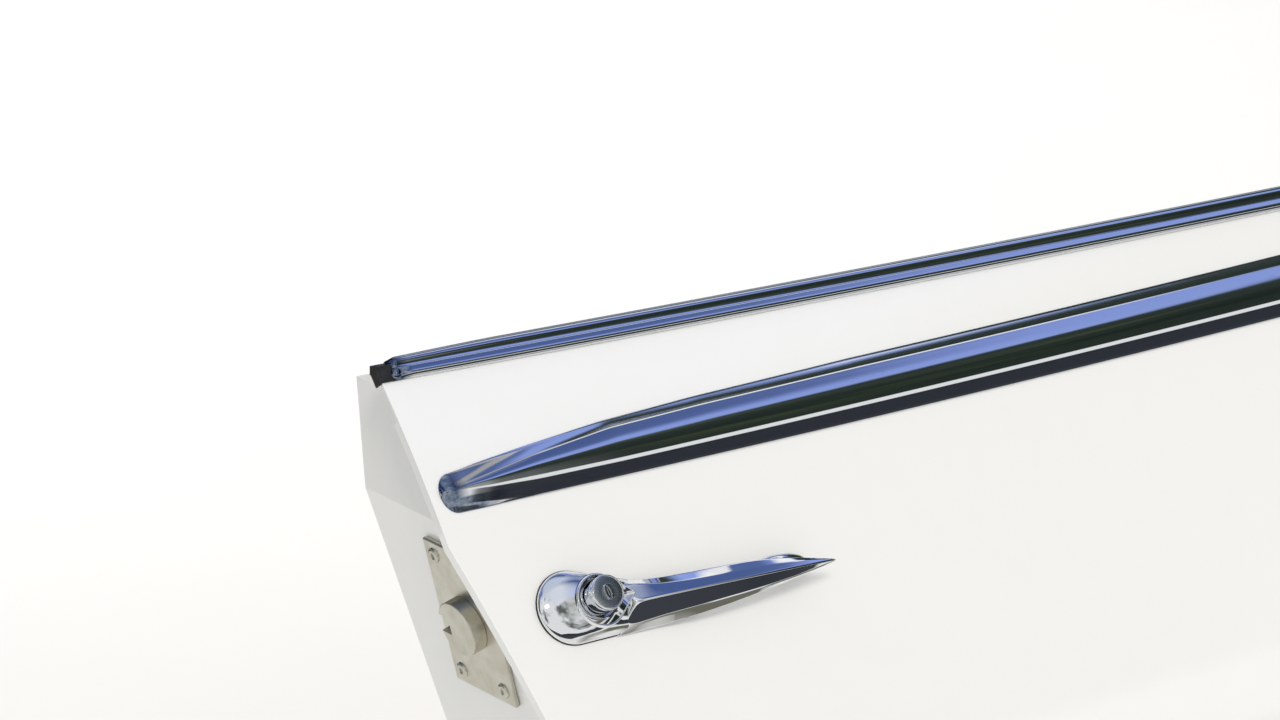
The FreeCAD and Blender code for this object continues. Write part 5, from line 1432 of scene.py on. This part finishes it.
def bolt_head(name, place, across_flats, height):
    """A hexagon head with softened edges on a round washer face."""
    bm = bmesh.new()
    radius = across_flats / math.sqrt(3)
    bmesh.ops.create_cone(bm, cap_ends=True, segments=6, radius1=radius, radius2=radius, depth=height,
                          matrix=place @ Matrix.Translation((0, 0, height / 2 + 0.8 * MM)))
    bmesh.ops.create_cone(bm, cap_ends=True, segments=40, radius1=radius * 1.12, radius2=radius * 1.12,
                          depth=0.8 * MM, matrix=place @ Matrix.Translation((0, 0, 0.4 * MM)))
    finish_piece(name, bm, "pin", edge=0.5 * MM)


def build_hinges(settings):
    """Both hinges with rounded castings and pins, and the bolts into the door."""
    for side, sign in (("upper", 1), ("lower", -1)):
        for node, name, finish, body, edge in (
                ("hinge_pillar_bracket_" + side, "hinge_arm_" + side, "hinge", "pillar_side", 1.4 * MM),
                ("hinge_door_leaf_" + side, "hinge_leaf_" + side, "hinge", "door", 1.0 * MM),
                ("hinge_pin_" + side, "hinge_pin_turned_" + side, "pin", "pillar_side", 1.2 * MM)):
            finish_piece(name, copy_of(node), finish, body=body, replaced=[node], edge=edge)
        for index, climb in enumerate(LEAF_BOLTS_Z):
            place = Matrix.Translation((LEAF_FACE, LEAF_BOLTS_Y, sign * HINGE_HEIGHT + climb))
            bolt_head("leaf_bolt_%s_%d" % (side, index + 1), place @ Matrix.Rotation(math.radians(90), 4, "Y"),
                      8 * MM, 3.2 * MM)


def build_frame(settings):
    """The pressed inner frame keeps its CAD shape and takes the inside paint."""
    dress("inner_frame", "inner_paint")


# Stage, light and camera

CAMERA_PLACE = Vector((-2.74483, -2.44714, 1.35538))
CAMERA_AIM = Vector((0.5651, 0.7581, -0.3256))
CAMERA_LENS, CAMERA_SENSOR = 180, 36
FLOOR_HEIGHT, FLOOR_HALF = -0.157, 12.0
STAGE_AIM = (-0.5, 0.0, 0.1)

# painted reflection: the colours that the floor glows with for mirror rays only
MIRRORED_FLOOR = (
    # from 0 at Y = 0, where the hinges are, to 1 at four metres from there
    (0.13, (0.16, 0.155, 0.125)), (0.145, (0.82, 0.82, 0.80)), (0.20, (0.80, 0.80, 0.78)),
    (0.23, (0.050, 0.055, 0.065)), (1.0, (0.030, 0.034, 0.044)),
)
MIRRORED_SKY = (
    # from 0 straight down to 1 straight up: ground, bright horizon, trees, sky and the haze overhead
    (0.518, (0.040, 0.044, 0.052)), (0.528, (0.88, 0.89, 0.88)), (0.592, (0.86, 0.87, 0.86)),
    (0.608, (0.030, 0.040, 0.036)), (0.70, (0.012, 0.020, 0.017)), (0.850, (0.032, 0.044, 0.038)),
    (0.866, (0.30, 0.40, 0.82)), (0.895, (0.27, 0.36, 0.78)), (0.915, (0.10, 0.15, 0.36)),
    (0.945, (0.07, 0.115, 0.30)), (0.985, (0.55, 0.61, 0.74)),
)
GLEAMS = (
    # colour, then the direction and the angles that it is whole within and gone beyond: a pale patch overhead,
    # three gleams along the blade's ridge, and the sun
    ((0.72, 0.76, 0.83), (-88, 60, 8, 16)),
    ((1.0, 1.0, 0.99), (27, 51, 3.5, 5.5)),
    ((0.9, 0.9, 0.891), (30.3, 56.3, 2.2, 3.2)),
    ((0.42, 0.42, 0.4158), (32.5, 60.5, 1.8, 3.4)),
    ((9.0, 9.0, 8.6), (-115, 48, 1.6, 2.4)),
)


def toward(azimuth, elevation):
    """A direction from degrees round from the car's front to inboard, and degrees up."""
    azimuth, elevation = math.radians(azimuth), math.radians(elevation)
    level = math.cos(elevation)
    return (math.cos(azimuth) * level, math.sin(azimuth) * level, math.sin(elevation))


def floor_material():
    """Pale matt floor; mirrors see a painted glow: dark close to the door, then a pale band, and dark further
    off.
    """
    f = Finish("Pale floor")
    tone = f.blend(f.grain(3.0, 4), (0.78, 0.78, 0.77), (0.82, 0.82, 0.81))
    f.surface(Base_Color=tone, Roughness=0.9)
    reach = f.node("ShaderNodeMath", {"operation": "ABSOLUTE"}, {0: f.axis("Y")})
    level = (reach + (f.grain(2.5, 4) - 0.5) * 0.2) / 4.0
    painted_reflection_tones = f.node("ShaderNodeValToRGB", {"stops": MIRRORED_FLOOR}, {"Fac": level})
    behind, close = f.between(f.axis("X"), -0.75, -0.92), f.ramp(level, (0.17, 1), (0.2, 0))
    painted_reflection_tones = f.blend(behind * close, painted_reflection_tones, (0.80, 0.80, 0.78))
    # painted reflection: an emission that only mirror rays see, standing for the ground
    ground = f.node("ShaderNodeEmission", {}, {"Color": painted_reflection_tones, "Strength": 1.0})
    glossy = f.node("ShaderNodeLightPath", out="Is Glossy Ray")
    mixed = f.node("ShaderNodeMixShader", {}, {0: glossy, 1: Value(f, f.shader.outputs[0]), 2: ground})
    f.plug(f.output.inputs["Surface"], mixed)
    return f.material


def surroundings(f):
    """What a mirror sees in each direction: ground, a bright horizon, foliage, sky, haze and some gleams."""
    direction = f.node("ShaderNodeTexCoord", out="Generated")
    height = f.node("ShaderNodeSeparateXYZ", {}, {0: direction}, "Z")
    leaves = f.grain(6.0, 6, 0.65, direction)
    boughs = f.grain(2.6, 4, 0.6, direction)

    def near(azimuth, elevation, inner, outer):
        """1 within so many degrees of a direction, and 0 beyond the outer angle."""
        turn = f.node("ShaderNodeVectorMath", {"operation": "DOT_PRODUCT"}, {
            0: direction, 1: toward(azimuth, elevation)}, "Value")
        return f.between(turn, math.cos(math.radians(outer)), math.cos(math.radians(inner)))

    level = height * 0.5 + 0.5 + (leaves - 0.5) * 0.035
    sky = f.node("ShaderNodeValToRGB", {"stops": MIRRORED_SKY}, {"Fac": level})
    in_trees = f.ramp(height, (0.30, 0), (0.45, 1), (0.66, 1), (0.69, 0))
    seen = f.blend(f.ramp(leaves, (0.5, 0), (0.72, 1)) * in_trees * 0.6, sky, (0.13, 0.17, 0.07))
    seen = f.blend(near(54, 27, 9, 16) * f.ramp(leaves, (0.42, 1), (0.60, 0.3)), seen, (0.48, 0.52, 0.64))
    haze = near(-122, 20, 42, 58) * f.ramp(boughs, (0.53, 1), (0.64, 0.12))
    seen = f.blend(haze, seen, (0.80, 0.81, 0.81))
    for colour, place in GLEAMS:
        seen = f.blend(near(*place), seen, colour)
    return seen


def make_world():
    """Soft white light for the object, the surroundings for mirrors and a plain backdrop for the camera."""
    world = bpy.data.worlds.new("Studio")
    bpy.context.scene.world = world
    world.use_nodes = True
    f = Finish("Studio", world.node_tree)
    background = next(node for node in f.tree.nodes if node.type == "BACKGROUND")
    output = next(node for node in f.tree.nodes if node.type == "OUTPUT_WORLD")
    mirrored = f.node("ShaderNodeBackground", {}, {"Color": surroundings(f), "Strength": 1.0})
    f.plug(background.inputs["Color"], (1.0, 1.0, 1.0))
    f.plug(background.inputs["Strength"], 0.72)
    backdrop = f.node("ShaderNodeBackground", {}, {"Color": (0.86, 0.87, 0.88), "Strength": 1.0})
    glossy = f.node("ShaderNodeLightPath", out="Is Glossy Ray")
    camera = f.node("ShaderNodeLightPath", out="Is Camera Ray")
    lit = f.node("ShaderNodeMixShader", {}, {0: glossy, 1: Value(f, background.outputs[0]), 2: mirrored})
    f.plug(output.inputs["Surface"], f.node("ShaderNodeMixShader", {}, {0: camera, 1: lit, 2: backdrop}))


def add_lamp(name, kind, place, energy, size, colour=(1, 1, 1)):
    """A lamp that points at the door and isn't seen in mirrors; its size is metres, or an angle for a sun."""
    lamp = bpy.data.lights.new(name, kind)
    lamp.energy = energy
    lamp.color = colour
    if kind == "AREA":
        lamp.size = size
    else:
        lamp.angle = size
    holder = bpy.data.objects.new(name, lamp)
    holder.location = place
    holder.rotation_euler = (Vector(STAGE_AIM) - Vector(place)).to_track_quat("-Z", "Y").to_euler()
    bpy.context.scene.collection.objects.link(holder)
    holder.visible_glossy = False


def build_stage(settings):
    """Pale floor, soft lamps, the studio's surroundings and the camera."""
    bm = bmesh.new()
    bmesh.ops.create_grid(bm, x_segments=1, y_segments=1, size=FLOOR_HALF,
                          matrix=Matrix.Translation((-0.5, 0, FLOOR_HEIGHT)))
    mesh = bpy.data.meshes.new("floor")
    bm.to_mesh(mesh)
    bm.free()
    floor = bpy.data.objects.new("floor", mesh)
    mesh.materials.append(floor_material())
    bpy.context.scene.collection.objects.link(floor)
    make_world()
    add_lamp("key", "SUN", (-1.6, -2.4, 3.0), 1.1, math.radians(16), (1.0, 0.97, 0.92))
    add_lamp("fill", "AREA", (1.6, -2.6, 1.2), 18, 2.0)
    add_lamp("inside", "AREA", (-0.4, 2.6, 1.5), 30, 2.0)
    lens = bpy.data.cameras.new("camera")
    lens.lens = CAMERA_LENS
    lens.sensor_width = CAMERA_SENSOR
    lens.clip_end = 100
    camera = bpy.data.objects.new("camera", lens)
    camera.location = CAMERA_PLACE
    camera.rotation_euler = CAMERA_AIM.to_track_quat("-Z", "Y").to_euler()
    bpy.context.scene.collection.objects.link(camera)
    scene = bpy.context.scene
    scene.camera = camera
    scene.view_settings.view_transform = "Standard"


# Operators: one for each piece or group of like pieces, and one for the stage

class DoorOperator:
    """What the door's operators share."""
    bl_options = {"REGISTER", "UNDO"}

    def execute(self, context):
        """Build the step's pieces from the scene's settings."""
        if not MATERIALS:
            make_materials(context.scene.roadster_door)
        type(self).build(context.scene.roadster_door)
        return {"FINISHED"}


class DOOR_OT_panel(DoorOperator, bpy.types.Operator):
    """Build the outer panel with its folded hem"""
    bl_idname = "door.panel"
    bl_label = "Outer panel"
    build = staticmethod(build_panel)


class DOOR_OT_frame(DoorOperator, bpy.types.Operator):
    """Paint the pressed inner frame"""
    bl_idname = "door.frame"
    bl_label = "Inner frame"
    build = staticmethod(build_frame)


class DOOR_OT_belt(DoorOperator, bpy.types.Operator):
    """Build the belt moulding, its end block, the seals, the glass and its channels"""
    bl_idname = "door.belt"
    bl_label = "Belt trim and glass"
    build = staticmethod(build_belt)


class DOOR_OT_strip(DoorOperator, bpy.types.Operator):
    """Build the rub strip with its tapering tail"""
    bl_idname = "door.strip"
    bl_label = "Rub strip"
    build = staticmethod(build_strip)


class DOOR_OT_handle(DoorOperator, bpy.types.Operator):
    """Build the outside handle with its push button and lock"""
    bl_idname = "door.handle"
    bl_label = "Outside handle"
    build = staticmethod(build_handle)


class DOOR_OT_padding(DoorOperator, bpy.types.Operator):
    """Build the top roll, the armrest and the door pull"""
    bl_idname = "door.padding"
    bl_label = "Padding"
    build = staticmethod(build_padding)


class DOOR_OT_card(DoorOperator, bpy.types.Operator):
    """Build the trim card and the kick plate"""
    bl_idname = "door.card"
    bl_label = "Trim card"
    build = staticmethod(build_card)


class DOOR_OT_controls(DoorOperator, bpy.types.Operator):
    """Build the window winder and the inside release"""
    bl_idname = "door.controls"
    bl_label = "Inside controls"
    build = staticmethod(build_controls)


class DOOR_OT_latch(DoorOperator, bpy.types.Operator):
    """Build the latch, the dovetail and the buffer"""
    bl_idname = "door.latch"
    bl_label = "Latch"
    build = staticmethod(build_latch)


class DOOR_OT_hinges(DoorOperator, bpy.types.Operator):
    """Build both hinges and their bolts"""
    bl_idname = "door.hinges"
    bl_label = "Hinges"
    build = staticmethod(build_hinges)


class DOOR_OT_stage(DoorOperator, bpy.types.Operator):
    """Set the floor, the lamps, the surroundings and the camera"""
    bl_idname = "door.stage"
    bl_label = "Stage"
    build = staticmethod(build_stage)


STEPS = (DOOR_OT_panel, DOOR_OT_frame, DOOR_OT_belt, DOOR_OT_strip, DOOR_OT_handle, DOOR_OT_padding,
         DOOR_OT_card, DOOR_OT_controls, DOOR_OT_latch, DOOR_OT_hinges, DOOR_OT_stage)


class DOOR_PT_builder(bpy.types.Panel):
    """Lists the door's sizes and building steps"""
    bl_label = "Roadster Door"
    bl_space_type = "VIEW_3D"
    bl_region_type = "UI"
    bl_category = "Door"

    def draw(self, context):
        """The settings first, then a button for each step."""
        settings = context.scene.roadster_door
        for name in DoorSettings.__annotations__:
            self.layout.prop(settings, name)
        for step in STEPS:
            self.layout.operator(step.bl_idname)


CLASSES = (DoorSettings, *STEPS, DOOR_PT_builder)


def register():
    """Make the settings, the steps and the sidebar's list known to Blender."""
    for item in CLASSES:
        bpy.utils.register_class(item)
    bpy.types.Scene.roadster_door = bpy.props.PointerProperty(type=DoorSettings)


def unregister():
    """Take them out again."""
    del bpy.types.Scene.roadster_door
    for item in reversed(CLASSES):
        bpy.utils.unregister_class(item)


def main():
    """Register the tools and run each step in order."""
    register()
    for step in STEPS:
        group, name = step.bl_idname.split(".")
        getattr(getattr(bpy.ops, group), name)()


if __name__ == "__main__":
    main()
